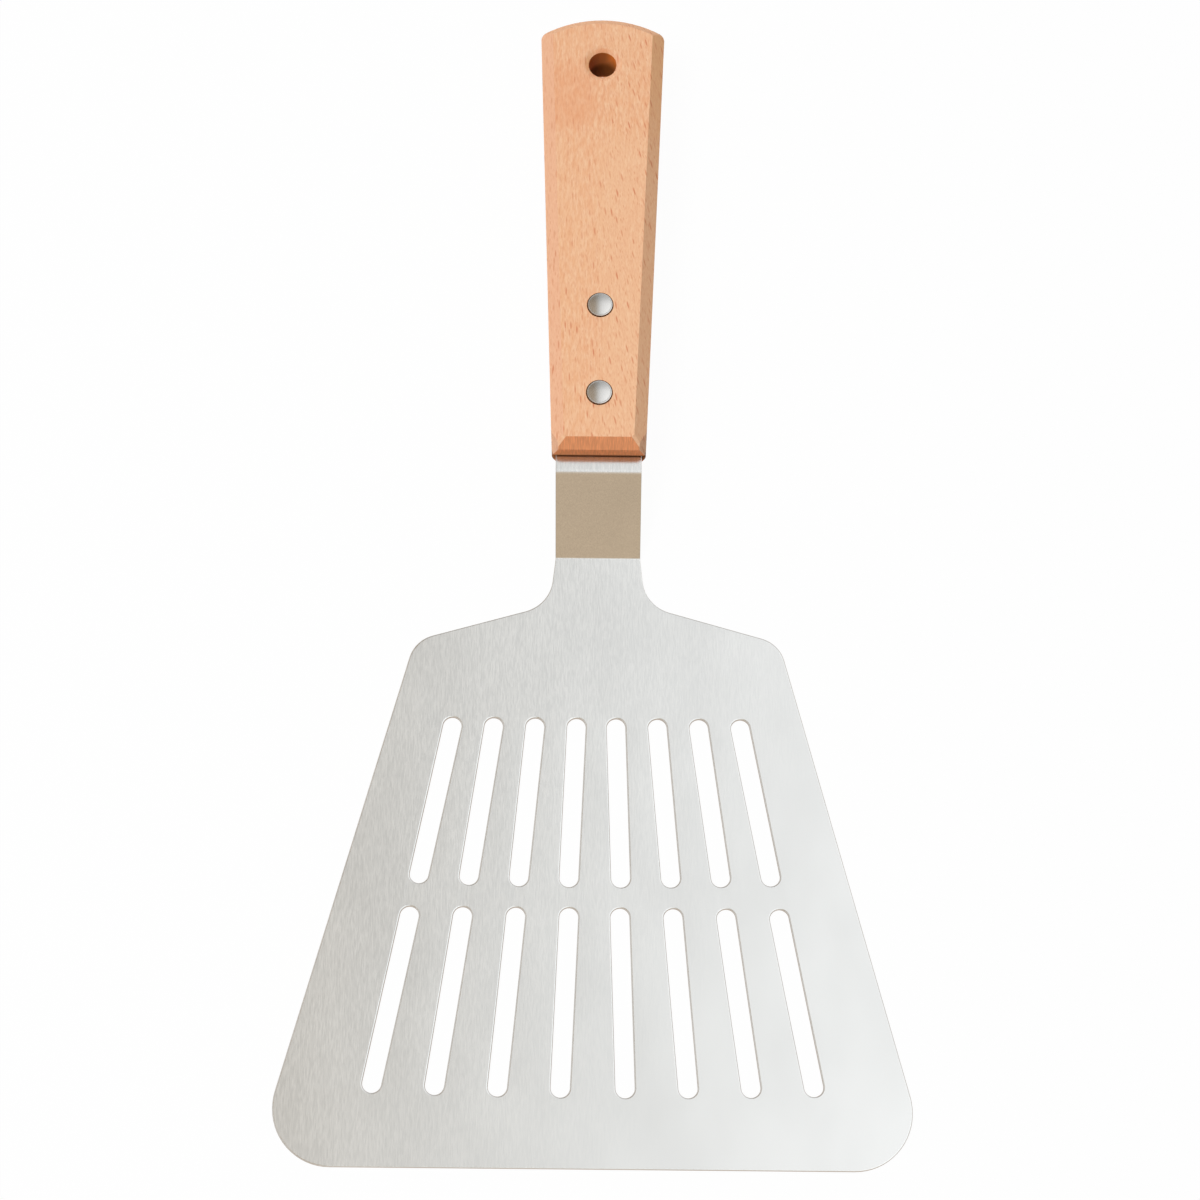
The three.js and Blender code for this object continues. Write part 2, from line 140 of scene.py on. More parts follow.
class TurnerBladeSettings(bpy.types.PropertyGroup):
    """Sizes and colours of the sheet."""

    thickness: length("Thickness", "Thickness of the sheet", 1.5 * MM)
    edge_radius: length("Edge rounding", "Rounding of the blade's edges and slots", 0.4 * MM)
    neck_rounding: number("Neck rounding", "Share of the edge rounding on neck and tang", 0.5)
    front_width: length("Front width", "Width between the side lines at the front edge", 187.2 * MM)
    shoulder_width: length("Shoulder width", "Width between the side lines at the shoulders", 106.7 * MM)
    neck_width: length("Neck width", "Width of the neck and the tang", 25 * MM)
    neck_root_width: length("Neck root", "Width of the neck where the shoulders meet it", 28.1 * MM)
    shoulder_slope: angle("Shoulder slope", "Slope of the shoulders towards the neck", 15.9)
    neck_length: length("Neck length", "Flat stretch of neck before the first bend", 14.7 * MM)
    front_corner: length("Front corners", "Radius of the front corners", 16.4 * MM)
    shoulder_corner: length("Shoulder corners", "Radius of the shoulder corners", 9.5 * MM)
    neck_fillet: length("Neck fillets", "Radius where the shoulders meet the neck", 10.9 * MM)
    slots_per_row: bpy.props.IntProperty(
        name="Slots per row", description="Number of slots in each row", default=8, min=2, max=12
    )
    slot_width: length("Slot width", "Width of each slot", 5.4 * MM)
    front_margin: length("Front margin", "Sheet in front of the slots", 19.4 * MM)
    front_slot_length: length("Front slots", "Length of the slots in the front row", 53.3 * MM)
    front_slot_pitch: length("Front pitch", "Spacing of the slots in the front row", 16.25 * MM)
    row_gap: length("Row gap", "Sheet between the two rows", 5.9 * MM)
    rear_slot_length: length("Rear slots", "Length of the slots in the rear row", 49.7 * MM)
    rear_slot_pitch: length("Rear pitch", "Spacing of the slots in the rear row", 13.1 * MM)
    rear_margin: length("Rear margin", "Sheet between the rear row and the shoulders", 23.2 * MM)
    inner_slot_angle: angle("Inner lean", "Lean of the slots next to the middle", 2.1)
    slot_angle_step: angle("Lean step", "Extra lean from one slot to the next one outwards", 2.9)
    crank_angle: angle("Crank", "Angle of the two bends in the neck", 45)
    bend_radius: length("Bend radius", "Radius inside the two bends", 0.6 * MM)
    tang_corner: length("Tang corners", "Radius of the corners of the tang's end", 3 * MM)
    rivet_hole: length("Rivet holes", "Diameter of the rivet holes in the tang", 4.6 * MM)
    steel: colour("Steel", "Colour of the brushed steel", (0.700, 0.712, 0.713))
    # Painted shade and warm reflection, multiplied onto the sloping stretch of the neck.
    riser: colour("Riser", "Shade of the sloping stretch of the neck", (0.695, 0.58, 0.46))


class TurnerHandleSettings(bpy.types.PropertyGroup):
    """Sizes and colours of the wood."""

    front_width: length("Front width", "Width of the handle at its front end", 27.4 * MM)
    rear_width: length("Rear width", "Width between the side lines at the rear end", 38 * MM)
    chamfer: length("Chamfer", "Chamfer along the four long edges", 3.6 * MM)
    front_bevel: length("Front bevel", "Bevel above and below at the front end", 3 * MM)
    mitre_depth: length("Mitre easing", "Depth sanded off where bevel and chamfers meet", 0.3 * MM)
    corner_depth: length("Corner depth", "Depth sanded off the front corners at the kerf", 0.2 * MM)
    corner_draft: angle("Corner draft", "Slant of the sanded corners, away from the kerf", 20)
    corner_turn: angle("Corner turn", "Turn of the sanded corners towards the front", 18)
    front_easing: length("Front easing", "Radius of the upright edges at the front end", 0.6 * MM)
    edge_radius: length("Edge rounding", "Rounding of all the wooden edges", 0.4 * MM)
    end_arc: length("End arc", "Radius of the arc at the rear end", 35 * MM)
    end_bevel: length("End bevel", "Bevel above and below along the rear end", 2.8 * MM)
    end_corner: length("End corners", "Radius of the corners beside the arc", 2.2 * MM)
    hole_diameter: length("Hanging hole", "Diameter of the hanging hole", 8.4 * MM)
    hole_distance: length("Hole distance", "From the rear end to the middle of the hanging hole", 16.2 * MM)
    dish_diameter: length("Hole dish", "Diameter of the shallow dish round the hanging hole", 12.4 * MM)
    dish_depth: length("Dish depth", "Depth of the dish at the hanging hole", 1.3 * MM)
    kerf_height: length("Kerf", "Height of the saw kerf that takes the tang", 2.4 * MM)
    # Painted shadow: width of the dark line painted beside the kerf.
    painted_kerf_shadow: length("Saw mark", "Width of the dark mark beside the kerf", 0.9 * MM)
    kerf_depth: length("Kerf depth", "Depth of the saw kerf from the front end", 58.4 * MM)
    face: colour("Face", "Main colour of the beech", (0.865, 0.497, 0.282))
    pink: colour("Pink patches", "Colour of the pinkish patches", (0.835, 0.412, 0.222))
    pale: colour("Pale streaks", "Colour of the pale streaks", (0.905, 0.572, 0.352))
    fleck: colour("Flecks", "Colour of the short flecks", (0.69, 0.235, 0.115))
    # Painted light and shade: the left side's colour is painted paler as if lit, the right side's darker as
    # if in shade.
    left_side: colour("Left side", "Colour of the left side and its chamfers", (0.881, 0.500, 0.312))
    right_side: colour("Right side", "Colour of the right side and its chamfers", (0.86, 0.48, 0.235))
    end_grain: colour("End grain", "Colour of the end grain", (0.752, 0.299, 0.132))
    end_face: colour("End face", "Colour of the front end's upright face", (0.82, 0.274, 0.091))
    hole_wall: colour("Hole wall", "Colour of the hanging hole's wall", (0.95, 0.29, 0.05))
    # Painted shade: the colour painted deep in the hanging hole, in the rivet seats and beside the kerf.
    bore: colour("Bore", "Colour of what drill and saw have darkened", (0.20, 0.062, 0.013))


class TurnerRivetSettings(bpy.types.PropertyGroup):
    """Sizes and colour of the rivets."""

    head: length("Head", "Diameter of the heads", 7.26 * MM)
    rim: length("Rim", "Height of the head's edge over the wood", 0.45 * MM)
    rim_radius: length("Rim rounding", "Rounding of the head's edge", 0.15 * MM)
    lip: length("Lip", "Width of the lip round the dome", 0.4 * MM)
    groove: length("Groove", "Depth of the fine groove between lip and dome", 0.06 * MM)
    seat_depth: length("Seat depth", "Depth that the head is let into the wood", 0.6 * MM)
    seat_gap: length("Seat gap", "Gap under the head", 0.05 * MM)
    seat_ring: length("Seat ring", "Gap round the head", 0.27 * MM)
    shank: length("Shank", "Diameter of the solid half's shank", 3 * MM)
    shank_tip: length("Shank tip", "Chamfer on the shank's tip", 0.4 * MM)
    tube: length("Tube", "Diameter of the tube half", 4.4 * MM)
    bore: length("Bore", "Diameter inside the tube half", 3.1 * MM)
    end_gap: length("End gap", "Gap between each half's end and the other half", 0.6 * MM)
    steel: colour("Steel", "Colour of the rivets", (0.56, 0.555, 0.545))


class TurnerStageSettings(bpy.types.PropertyGroup):
    """Camera, lamps and surroundings."""

    tilt: angle("Tilt", "Camera's tilt away from straight above", 17.83)
    roll: angle("Roll", "Camera's turn about its own axis", -0.546)
    distance: length("Distance", "Camera's distance from its aim", 766.2 * MM)
    lens: number("Lens", "Focal length in millimetres", 78.0, "CAMERA")
    aim: point("Aim", "Point that the camera looks at", (0.757 * MM, -6.393 * MM, 0.0))
    key_place: point("Key place", "Place of the key lamp", (-0.39, -0.25, 1.32))
    key_power: number("Key power", "Power of the key lamp", 14.0, "POWER")
    key_size: length("Key size", "Width of the key lamp", 0.5)
    back_place: point("Back place", "Place of the lamp behind the handle", (-0.15, 1.3, 0.55))
    back_power: number("Back power", "Power of the lamp behind the handle", 5.0, "POWER")
    back_size: length("Back size", "Width of the lamp behind the handle", 0.8)
    ambient: number("Ambient", "Brightness of the surroundings on matt surfaces", 0.22)
    floor: colour("Floor", "Colour of the floor", (0.8, 0.8, 0.8))
    mirrored_floor: colour("Mirrored floor", "What metal reflects from the floor", (0.66, 0.55, 0.47))
    studio: number("Studio", "Brightness of the surroundings that metal reflects", 1.81)
    side: colour("Sides", "What metal reflects from the sides", (0.60, 0.60, 0.592))
    far_left: colour("Far left", "What metal reflects from far on the left", (0.320, 0.255, 0.188))
    left: colour("Left", "What metal reflects from the left", (0.500, 0.494, 0.473))
    above: colour("Above", "What metal reflects from above", (0.612, 0.618, 0.617))
    right: colour("Right", "What metal reflects from the right", (0.772, 0.772, 0.770))
    far_right: colour("Far right", "What metal reflects from far on the right", (0.90, 0.90, 0.89))
    horizon: colour("Horizon", "What metal reflects from low down", (0.56, 0.557, 0.55))
    front: colour("Front", "What metal reflects from low down in front", (0.559, 0.518, 0.455))


# Modelling


def start_piece(name):
    """Starts an empty mesh object and opens it in edit mode."""
    bpy.ops.object.select_all(action="DESELECT")
    bpy.ops.mesh.primitive_plane_add(size=SEED_SIZE)
    piece = bpy.context.active_object
    piece.name = name
    piece.data.name = name
    bpy.ops.object.mode_set(mode="EDIT")
    bpy.ops.mesh.select_all(action="SELECT")
    bpy.ops.mesh.delete(type="VERT")
    return piece


def spin(turn, centre, axis, steps):
    """Sweeps the selection anticlockwise round an axis; the operator counts the other way."""
    bpy.ops.mesh.spin(steps=steps, angle=-turn, center=centre, axis=axis)


def arc_steps(turn, step):
    """How many straight steps draw an arc of this turn."""
    return max(2, math.ceil(abs(turn) / step))


class Pen:
    """Draws a chain of edges in edit mode, one straight or round stretch at a time."""

    def __init__(self, start):
        bpy.ops.mesh.select_all(action="DESELECT")
        bpy.ops.mesh.primitive_plane_add(size=SEED_SIZE, location=start)
        bpy.ops.mesh.merge(type="CENTER")
        self.place = Vector(start)

    def line_to(self, target):
        step = Vector(target) - self.place
        bpy.ops.mesh.extrude_vertices_move(TRANSFORM_OT_translate={"value": step})
        self.place = Vector(target)

    def arc(self, centre, turn, step=ARC_STEP):
        """A level arc about a centre, anticlockwise for a positive turn."""
        spin(turn, centre, (0, 0, 1), arc_steps(turn, step))
        self.place = centre + Matrix.Rotation(turn, 3, "Z") @ (self.place - centre)


def rounded_corner(before, corner, after, radius):
    """Start, centre and turn of the arc that rounds one corner of an outline."""
    into = (corner - before).normalized()
    out = (after - corner).normalized()
    turn = math.atan2(into.x * out.y - into.y * out.x, into.dot(out))
    start = corner - into * radius * math.tan(abs(turn) / 2)
    centre = start + Vector((-into.y, into.x, 0)) * math.copysign(radius, turn)
    return start, centre, turn


def draw_outline(corners, height):
    """Draws a closed level outline through (x, y, radius) corners; a radius of 0 leaves a sharp corner."""
    places = [Vector((x, y, height)) for x, y, _ in corners]
    stretches = []
    for i, (_, _, radius) in enumerate(corners):
        after = places[(i + 1) % len(places)]
        stretches.append((*rounded_corner(places[i - 1], places[i], after, radius), radius))
    first = stretches[0][0]
    pen = Pen(first)
    for start, centre, turn, radius in stretches:
        if start is not first:
            pen.line_to(start)
        if radius > 0:
            pen.arc(centre, turn)
    pen.line_to(first)


def draw_slot(rear, lean, reach, width, height):
    """Draws a round-ended slot from its rear end's centre; it runs forwards and leans outwards."""
    forwards = Vector((math.sin(lean), -math.cos(lean), 0))
    rear_centre = Vector((*rear, height))
    front_centre = rear_centre + forwards * reach
    side = Vector((math.cos(lean), math.sin(lean), 0)) * width / 2
    pen = Pen(rear_centre + side)
    pen.arc(rear_centre, math.pi)
    pen.line_to(front_centre - side)
    pen.arc(front_centre, math.pi)
    pen.line_to(rear_centre + side)


def draw_circle(centre, diameter):
    """Draws a level circle."""
    pen = Pen(centre + Vector((diameter / 2, 0, 0)))
    pen.arc(centre, 2 * math.pi)


def both_sides(right_side):
    """Adds the same (x, y, radius) corners on the other side of the middle, so that an outline closes."""
    left_side = [(-x, y, radius) for x, y, radius in right_side]
    return right_side + left_side[::-1]


def select_where(piece, kind, test):
    """Selects the edges or faces of a piece in edit mode that pass a test, and nothing else."""
    bpy.ops.mesh.select_mode(type=kind)
    bpy.ops.mesh.select_all(action="DESELECT")
    shape = bmesh.from_edit_mesh(piece.data)
    for element in {"EDGE": shape.edges, "FACE": shape.faces}[kind]:
        if test(element):
            element.select_set(True)
    bmesh.update_edit_mesh(piece.data)
    if not any(vertex.select for vertex in shape.verts):
        raise RuntimeError(f"nothing to select on {piece.name}")


def close_up(distance=MERGE_DISTANCE):
    """Merges what lies in one place and turns all faces outwards."""
    bpy.ops.mesh.select_mode(type="VERT")
    bpy.ops.mesh.select_all(action="SELECT")
    bpy.ops.mesh.remove_doubles(threshold=distance)
    bpy.ops.mesh.normals_make_consistent(inside=False)


def apply_modifier(piece, kind, **settings):
    """Adds a modifier to the active piece in object mode and applies it."""
    modifier = piece.modifiers.new(kind.lower(), kind)
    for name, value in settings.items():
        setattr(modifier, name, value)
    bpy.ops.object.modifier_apply(modifier=modifier.name)


def turned_piece(name, profile, y):
    """Turns (radius, height) points about an upright axis; heights count from the handle's middle."""
    piece = start_piece(name)
    axis = Vector((0, y, HANDLE_MIDDLE_Z))
    places = [axis + Vector((radius, 0, height)) for radius, height in profile]
    pen = Pen(places[0])
    for place in places[1:]:
        pen.line_to(place)
    bpy.ops.mesh.select_all(action="SELECT")
    spin(2 * math.pi, axis, (0, 0, 1), TURNED_STEPS)
    close_up()
    bpy.ops.object.mode_set(mode="OBJECT")
    return piece


def close_up_whole(distance=MERGE_DISTANCE):
    """Closes up the active piece, which is in object mode."""
    bpy.ops.object.mode_set(mode="EDIT")
    close_up(distance)
    bpy.ops.object.mode_set(mode="OBJECT")


def select_only(*pieces):
    """Selects pieces in object mode and makes the first one active."""
    bpy.ops.object.select_all(action="DESELECT")
    for piece in pieces:
        piece.select_set(True)
    bpy.context.view_layer.objects.active = pieces[0]


def copied_along(piece, name, distance):
    """Copies a piece, with a mesh of its own, and moves the copy along the turner."""
    select_only(piece)
    bpy.ops.object.duplicate()
    copy = bpy.context.active_object
    copy.name = name
    copy.data.name = name
    bpy.ops.transform.translate(value=(0, distance, 0))
    bpy.ops.object.transform_apply(location=True, rotation=False, scale=False)
    return copy


def rivet_places():
    """Where the front and the rear rivet lie along the turner."""
    boxes = [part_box(f"{name}_solid_half") for name in RIVET_NAMES]
    return [(low.y + high.y) / 2 for low, high in boxes]


def cut(piece, cutter):
    """Takes the cutter's shape out of a piece and removes the cutter."""
    bpy.ops.object.select_all(action="DESELECT")
    bpy.context.view_layer.objects.active = piece
    apply_modifier(piece, "BOOLEAN", operation="DIFFERENCE", solver="EXACT", object=cutter)
    cutter.select_set(True)
    bpy.ops.object.delete()


def joined(*pieces):
    """Joins pieces that don't touch into the first one."""
    select_only(*pieces)
    bpy.ops.object.join()
    return pieces[0]


def check_closed(piece):
    """Stops the build if a piece has an open or branching edge."""
    shape = bmesh.new()
    shape.from_mesh(piece.data)
    open_edges = sum(1 for edge in shape.edges if not edge.is_manifold)
    shape.free()
    if open_edges:
        raise RuntimeError(f"{piece.name} has {open_edges} open edges")


def finish_piece(piece, node, material, smooth_angle):
    """Smooths a finished piece's shading and puts it in the place of its solid."""
    check_closed(piece)
    select_only(piece)
    bpy.ops.object.shade_smooth_by_angle(angle=smooth_angle)
    apply_modifier(piece, "WEIGHTED_NORMAL", mode="FACE_AREA", weight=100, keep_sharp=True)
    piece.data.materials.clear()
    piece.data.materials.append(material)
    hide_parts(node)
    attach(piece, "root")


# Material nodes


def add_node(tree, kind, inputs=None, **settings):
    """Adds a node; inputs gives a value or another node's socket for each socket name or number."""
    node = tree.nodes.new(kind)
    for name, value in settings.items():
        setattr(node, name, value)
    for key, value in (inputs or {}).items():
        if isinstance(value, bpy.types.NodeSocket):
            tree.links.new(value, node.inputs[key])
        else:
            node.inputs[key].default_value = value
    return node


def math_node(tree, operation, first, second=0.5):
    return add_node(tree, "ShaderNodeMath", {0: first, 1: second}, operation=operation).outputs[0]


def times(tree, first, second):
    return math_node(tree, "MULTIPLY", first, second)


def larger(tree, first, second):
    return math_node(tree, "MAXIMUM", first, second)


def remaining(tree, share):
    """What a share leaves of the whole."""
    return math_node(tree, "SUBTRACT", 1.0, share)


def vector_node(tree, operation, first, second):
    return add_node(tree, "ShaderNodeVectorMath", {0: first, 1: second}, operation=operation).outputs[0]


def parts(tree, vector):
    """The X, Y and Z of a vector."""
    return add_node(tree, "ShaderNodeSeparateXYZ", {"Vector": vector}).outputs


def vector_length(tree, vector):
    return add_node(tree, "ShaderNodeVectorMath", {0: vector}, operation="LENGTH").outputs["Value"]


def add_up(tree, *weighted):
    """The sum of values, each times its weight."""
    total = 0.0
    for value, weight in weighted:
        total = math_node(tree, "ADD", times(tree, value, weight), total)
    return total


def remap(tree, value, low, high, to_low=0.0, to_high=1.0, smooth=False):
    """Maps a value from one range to another, clamped."""
    inputs = {"Value": value, "From Min": low, "From Max": high, "To Min": to_low, "To Max": to_high}
    kind = "SMOOTHSTEP" if smooth else "LINEAR"
    return add_node(tree, "ShaderNodeMapRange", inputs, interpolation_type=kind).outputs["Result"]


def spread(tree, noise, low=0.0, high=1.0):
    """Spreads a noise, most of which lies near its middle, over a whole range."""
    return remap(tree, noise, NOISE_LOW, NOISE_HIGH, low, high)


def mix_colour(tree, factor, first, second, blend="MIX"):
    """Mixes two colours, through the sockets that the mix node has for colours."""
    inputs = {0: factor, 6: first, 7: second}
    return add_node(tree, "ShaderNodeMix", inputs, data_type="RGBA", blend_type=blend).outputs[2]


def opaque(rgb):
    return (*rgb, 1.0)


def streaks_group():
    """Noise drawn out along the turner, as a shader node group."""
    group = bpy.data.node_groups.get("lengthwise_streaks")
    if group:
        return group
    group = bpy.data.node_groups.new("lengthwise_streaks", "ShaderNodeTree")
    for name in ("Across", "Along", "Detail"):
        group.interface.new_socket(name, in_out="INPUT", socket_type="NodeSocketFloat")
    group.interface.new_socket("Value", in_out="OUTPUT", socket_type="NodeSocketFloat")
    given = add_node(group, "NodeGroupInput").outputs
    place = add_node(group, "ShaderNodeTexCoord").outputs["Object"]
    scale = add_node(
        group, "ShaderNodeCombineXYZ", {"X": given["Across"], "Y": given["Along"], "Z": given["Across"]}
    ).outputs["Vector"]
    stretched = add_node(group, "ShaderNodeMapping", {"Vector": place, "Scale": scale}).outputs["Vector"]
    noise = add_node(
        group, "ShaderNodeTexNoise", {"Vector": stretched, "Scale": 1.0, "Detail": given["Detail"]}
    ).outputs["Fac"]
    add_node(group, "NodeGroupOutput", {"Value": noise})
    return group


def streaks(tree, across, along, detail=2.0):
    """Lengthwise streaks, with so many waves per metre across and along."""
    node = add_node(tree, "ShaderNodeGroup", node_tree=streaks_group())
    for name, value in (("Across", across), ("Along", along), ("Detail", detail)):
        node.inputs[name].default_value = value
    return node.outputs["Value"]


def new_material(name):
    """A new material with its shader; returns the material, its node tree and the shader."""
    material = bpy.data.materials.new(name)
    material.use_nodes = True
    tree = material.node_tree
    return material, tree, tree.nodes["Principled BSDF"]


def shaded(rgb, level):
    """A colour made darker or lighter, ready for a socket."""
    return opaque([min(1.0, level * channel) for channel in rgb])


def varied(tree, noise, rgb, contrast):
    """A colour that a noise makes a little darker and lighter."""
    return mix_colour(tree, spread(tree, noise), shaded(rgb, 1 - contrast), shaded(rgb, 1 + contrast))


def dress(tree, shader, shade, roughness, relief, strength, depth):
    """Links a material's colour, roughness and fine relief to its shader."""
    bump = add_node(tree, "ShaderNodeBump", {"Height": relief, "Strength": strength, "Distance": depth})
    tree.links.new(shade, shader.inputs["Base Color"])
    tree.links.new(roughness, shader.inputs["Roughness"])
    tree.links.new(bump.outputs["Normal"], shader.inputs["Normal"])


def blade_steel(sizes):
    """Stainless sheet with soft, short brushing along the blade, which blurs what it reflects sideways."""
    fine_share = 0.85
    contrast = 0.07
    clouding = 0.05
    faintest = 0.8
    material, tree, shader = new_material("brushed_stainless")
    coordinates = add_node(tree, "ShaderNodeTexCoord").outputs
    place = parts(tree, coordinates["Object"])
    fine = streaks(tree, across=3000, along=400)
    broad = streaks(tree, across=800, along=130)
    cloud = streaks(tree, across=45, along=28)
    lines = add_up(tree, (fine, fine_share), (broad, 1 - fine_share))
    shade = varied(tree, lines, sizes.steel, contrast)
    # The brushing is plainest at the neck and grows fainter towards the front and the right.
    from_neck = add_up(tree, (place["X"], 1.0), (place["Y"], -0.5))
    faint = remap(tree, from_neck, -10 * MM, 95 * MM, 0.0, faintest)
    shade = mix_colour(tree, faint, shade, opaque(sizes.steel))
    shade = mix_colour(tree, spread(tree, cloud, 0.0, clouding), shade, opaque(BLACK))
    # Painted shade and reflection: the sloping stretch of the neck is painted darker and warmer than the
    # level stretches.
    slope = math_node(tree, "ABSOLUTE", parts(tree, coordinates["Normal"])["Y"])
    sloping = remap(tree, slope, 0.3, 0.6, smooth=True)
    sheet_top = BLADE_LOW.z + sizes.thickness
    raised = remap(tree, place["Z"], sheet_top, sheet_top + 0.2 * sizes.thickness)
    shade = mix_colour(tree, times(tree, sloping, raised), shade, opaque(sizes.riser), "MULTIPLY")
    roughness = remap(tree, lines, 0.3, 0.7, 0.20, 0.24)
    dress(tree, shader, shade, roughness, lines, strength=0.03, depth=0.05 * MM)
    across = add_node(tree, "ShaderNodeTangent", direction_type="UV_MAP", uv_map=BRUSHING_MAP)
    tree.links.new(across.outputs["Tangent"], shader.inputs["Tangent"])
    shader.inputs["Metallic"].default_value = 1.0
    shader.inputs["Anisotropic"].default_value = 0.5
    return material


def rivet_steel(steel):
    """Satin steel of the rivet heads."""
    contrast = 0.03
    material, tree, shader = new_material("satin_rivet_steel")
    fine = streaks(tree, across=3600, along=1200)
    shade = varied(tree, fine, steel, contrast)
    roughness = remap(tree, fine, 0.3, 0.7, 0.24, 0.29)
    dress(tree, shader, shade, roughness, fine, strength=0.02, depth=0.05 * MM)
    shader.inputs["Metallic"].default_value = 1.0
    return material


def flecks(tree, place, per_metre, half_size):
    """Masks short flecks, one in most of the stretched cells; towards the right side they lean more."""
    share = 0.9
    core = 0.4
    cells = add_node(tree, "ShaderNodeMapping", {"Vector": place, "Scale": per_metre}).outputs["Vector"]
    voronoi = add_node(tree, "ShaderNodeTexVoronoi", {"Vector": cells, "Scale": 1.0}).outputs
    offset = vector_node(tree, "SUBTRACT", cells, voronoi["Position"])
    offset = parts(tree, vector_node(tree, "DIVIDE", offset, per_metre))
    centre = parts(tree, vector_node(tree, "DIVIDE", voronoi["Position"], per_metre))
    lean = remap(tree, centre["X"], -8 * MM, 9 * MM, 0.03, 0.26)
    leaning = {
        "X": math_node(tree, "ADD", offset["X"], times(tree, lean, offset["Y"])),
        "Y": offset["Y"],
        "Z": offset["Z"],
    }
    shape = add_node(tree, "ShaderNodeCombineXYZ", leaning).outputs[0]
    reach = vector_length(tree, vector_node(tree, "DIVIDE", shape, half_size))
    near = remap(tree, reach, core, 1.0, 1.0, 0.0, smooth=True)
    luck = add_node(tree, "ShaderNodeSeparateColor", {"Color": voronoi["Color"]}).outputs["Red"]
    return times(tree, near, remap(tree, luck, 1 - share, 1.0))


def inside_hole(tree, place, y, radius):
    """Masks the wood's wall in an upright hole on the middle line."""
    from_axis = parts(tree, vector_node(tree, "SUBTRACT", place, (0, y, 0)))
    level = add_node(tree, "ShaderNodeCombineXYZ", {"X": from_axis["X"], "Y": from_axis["Y"]}).outputs[0]
    return math_node(tree, "LESS_THAN", vector_length(tree, level), radius + NEAR)


def painted_shade_in_cuts(tree, sizes, rivets, coordinates, hole):
    """Masks painted shade in the cuts: deep in the hanging hole's wall, in the rivet seats and beside the
    kerf.
    """
    deepest_painted_shade = 0.95
    painted_side_shade_strength = 0.6
    painted_cut_shade = 0.92
    place = coordinates["Object"]
    height = math_node(tree, "SUBTRACT", parts(tree, place)["Z"], HANDLE_MIDDLE_Z)
    mouth = HANDLE_THICKNESS / 2 - sizes.dish_depth
    # Painted shade: the hole's wall is painted darker with depth, where shade falls.
    painted_depth_shade = remap(tree, height, mouth - 1 * MM, mouth - 9 * MM, 0.0, deepest_painted_shade, smooth=True)
    # Painted shade: up to its mouth the wall is also painted dark where it faces left.
    facing = parts(tree, coordinates["Normal"])
    painted_side_shade = remap(tree, facing["X"], -0.85, -0.1, 0.0, painted_side_shade_strength, smooth=True)
    clear = remap(tree, height, -mouth, -mouth + 1 * MM)
    dark = times(tree, hole, times(tree, larger(tree, painted_depth_shade, painted_side_shade), clear))

    # Painted shadow: a dark line beside the kerf, where the tang meets the wood.
    from_middle = math_node(tree, "ABSOLUTE", height)
    kerf_edge = sizes.kerf_height / 2 + NEAR
    beside = remap(tree, from_middle, kerf_edge, kerf_edge + sizes.painted_kerf_shadow, 1.0, 0.0)
    kerf_end = HANDLE_LOW.y + sizes.kerf_depth + NEAR
    kerf = times(tree, beside, math_node(tree, "LESS_THAN", parts(tree, place)["Y"], kerf_end))
    # Painted shade: the seats round the rivet heads and the line beside the kerf are painted dark, at one
    # strength.
    seats = [inside_hole(tree, place, y, seat_radius(rivets)) for y in rivet_places()]
    for inside in (kerf, *seats):
        dark = larger(tree, dark, times(tree, inside, painted_cut_shade))
    return dark


def beech_face(tree, sizes, coordinates):
    """Colour of the long grain, with painted light on the left side and painted shade on the right, and a
    mask of its flecks.
    """
    place = parts(tree, coordinates["Object"])
    patches = streaks(tree, across=100, along=25)
    mottle = streaks(tree, across=1400, along=300, detail=3.0)
    # The wood is pinker in a band near the rear, most of all on the left, and paler on the right.
    to_left = remap(tree, place["X"], 6 * MM, -8 * MM, smooth=True)
    band_start = remap(tree, place["Y"], 122 * MM, 138 * MM, smooth=True)
    band_end = remap(tree, place["Y"], 146 * MM, 166 * MM, 1.0, 0.45, smooth=True)
    band = times(tree, band_start, band_end)
    pinker = times(tree, band, remap(tree, to_left, 0.0, 1.0, 0.5, 1.0))
    pinker = larger(tree, pinker, spread(tree, patches, 0.0, 0.5))
    face = mix_colour(tree, pinker, opaque(sizes.face), opaque(sizes.pink))
    paler = times(tree, spread(tree, mottle), remap(tree, pinker, 0.7, 0.9, 1.0, 0.5))
    right_half = times(tree, remap(tree, to_left, 0.0, 1.0, 0.6, 0.0), remaining(tree, band))
    face = mix_colour(tree, larger(tree, paler, right_half), face, opaque(sizes.pale))
    # Painted light and shade: the left side and its chamfers are painted a little paler as painted light, the
    # right side darker and yellower as painted shade, most near the rear.
    facing = parts(tree, coordinates["Normal"])
    painted_light_left = remap(tree, facing["X"], -0.35, -0.6, 0.0, 0.8, smooth=True)
    painted_shade_right = remap(tree, facing["X"], 0.35, 0.6, smooth=True)
    painted_shade_rearwards = remap(tree, place["Y"], 110 * MM, 160 * MM, 0.25, 0.9, smooth=True)
    face = mix_colour(tree, painted_light_left, face, opaque(sizes.left_side))
    face = mix_colour(tree, times(tree, painted_shade_right, painted_shade_rearwards), face, opaque(sizes.right_side))

    large = flecks(tree, coordinates["Object"], (600, 180, 420), (0.31 * MM, 1.8 * MM, 1.8 * MM))
    small = flecks(tree, coordinates["Object"], (1200, 400, 700), (0.17 * MM, 0.8 * MM, 1.0 * MM))
    small_strength = 0.6
    marks = larger(tree, large, times(tree, small, small_strength))
    # Towards the rear the left half has fewer flecks.
    fewer = times(tree, to_left, remap(tree, place["Y"], 60 * MM, 130 * MM, 0.0, 0.5))
    return face, times(tree, marks, remaining(tree, fewer))


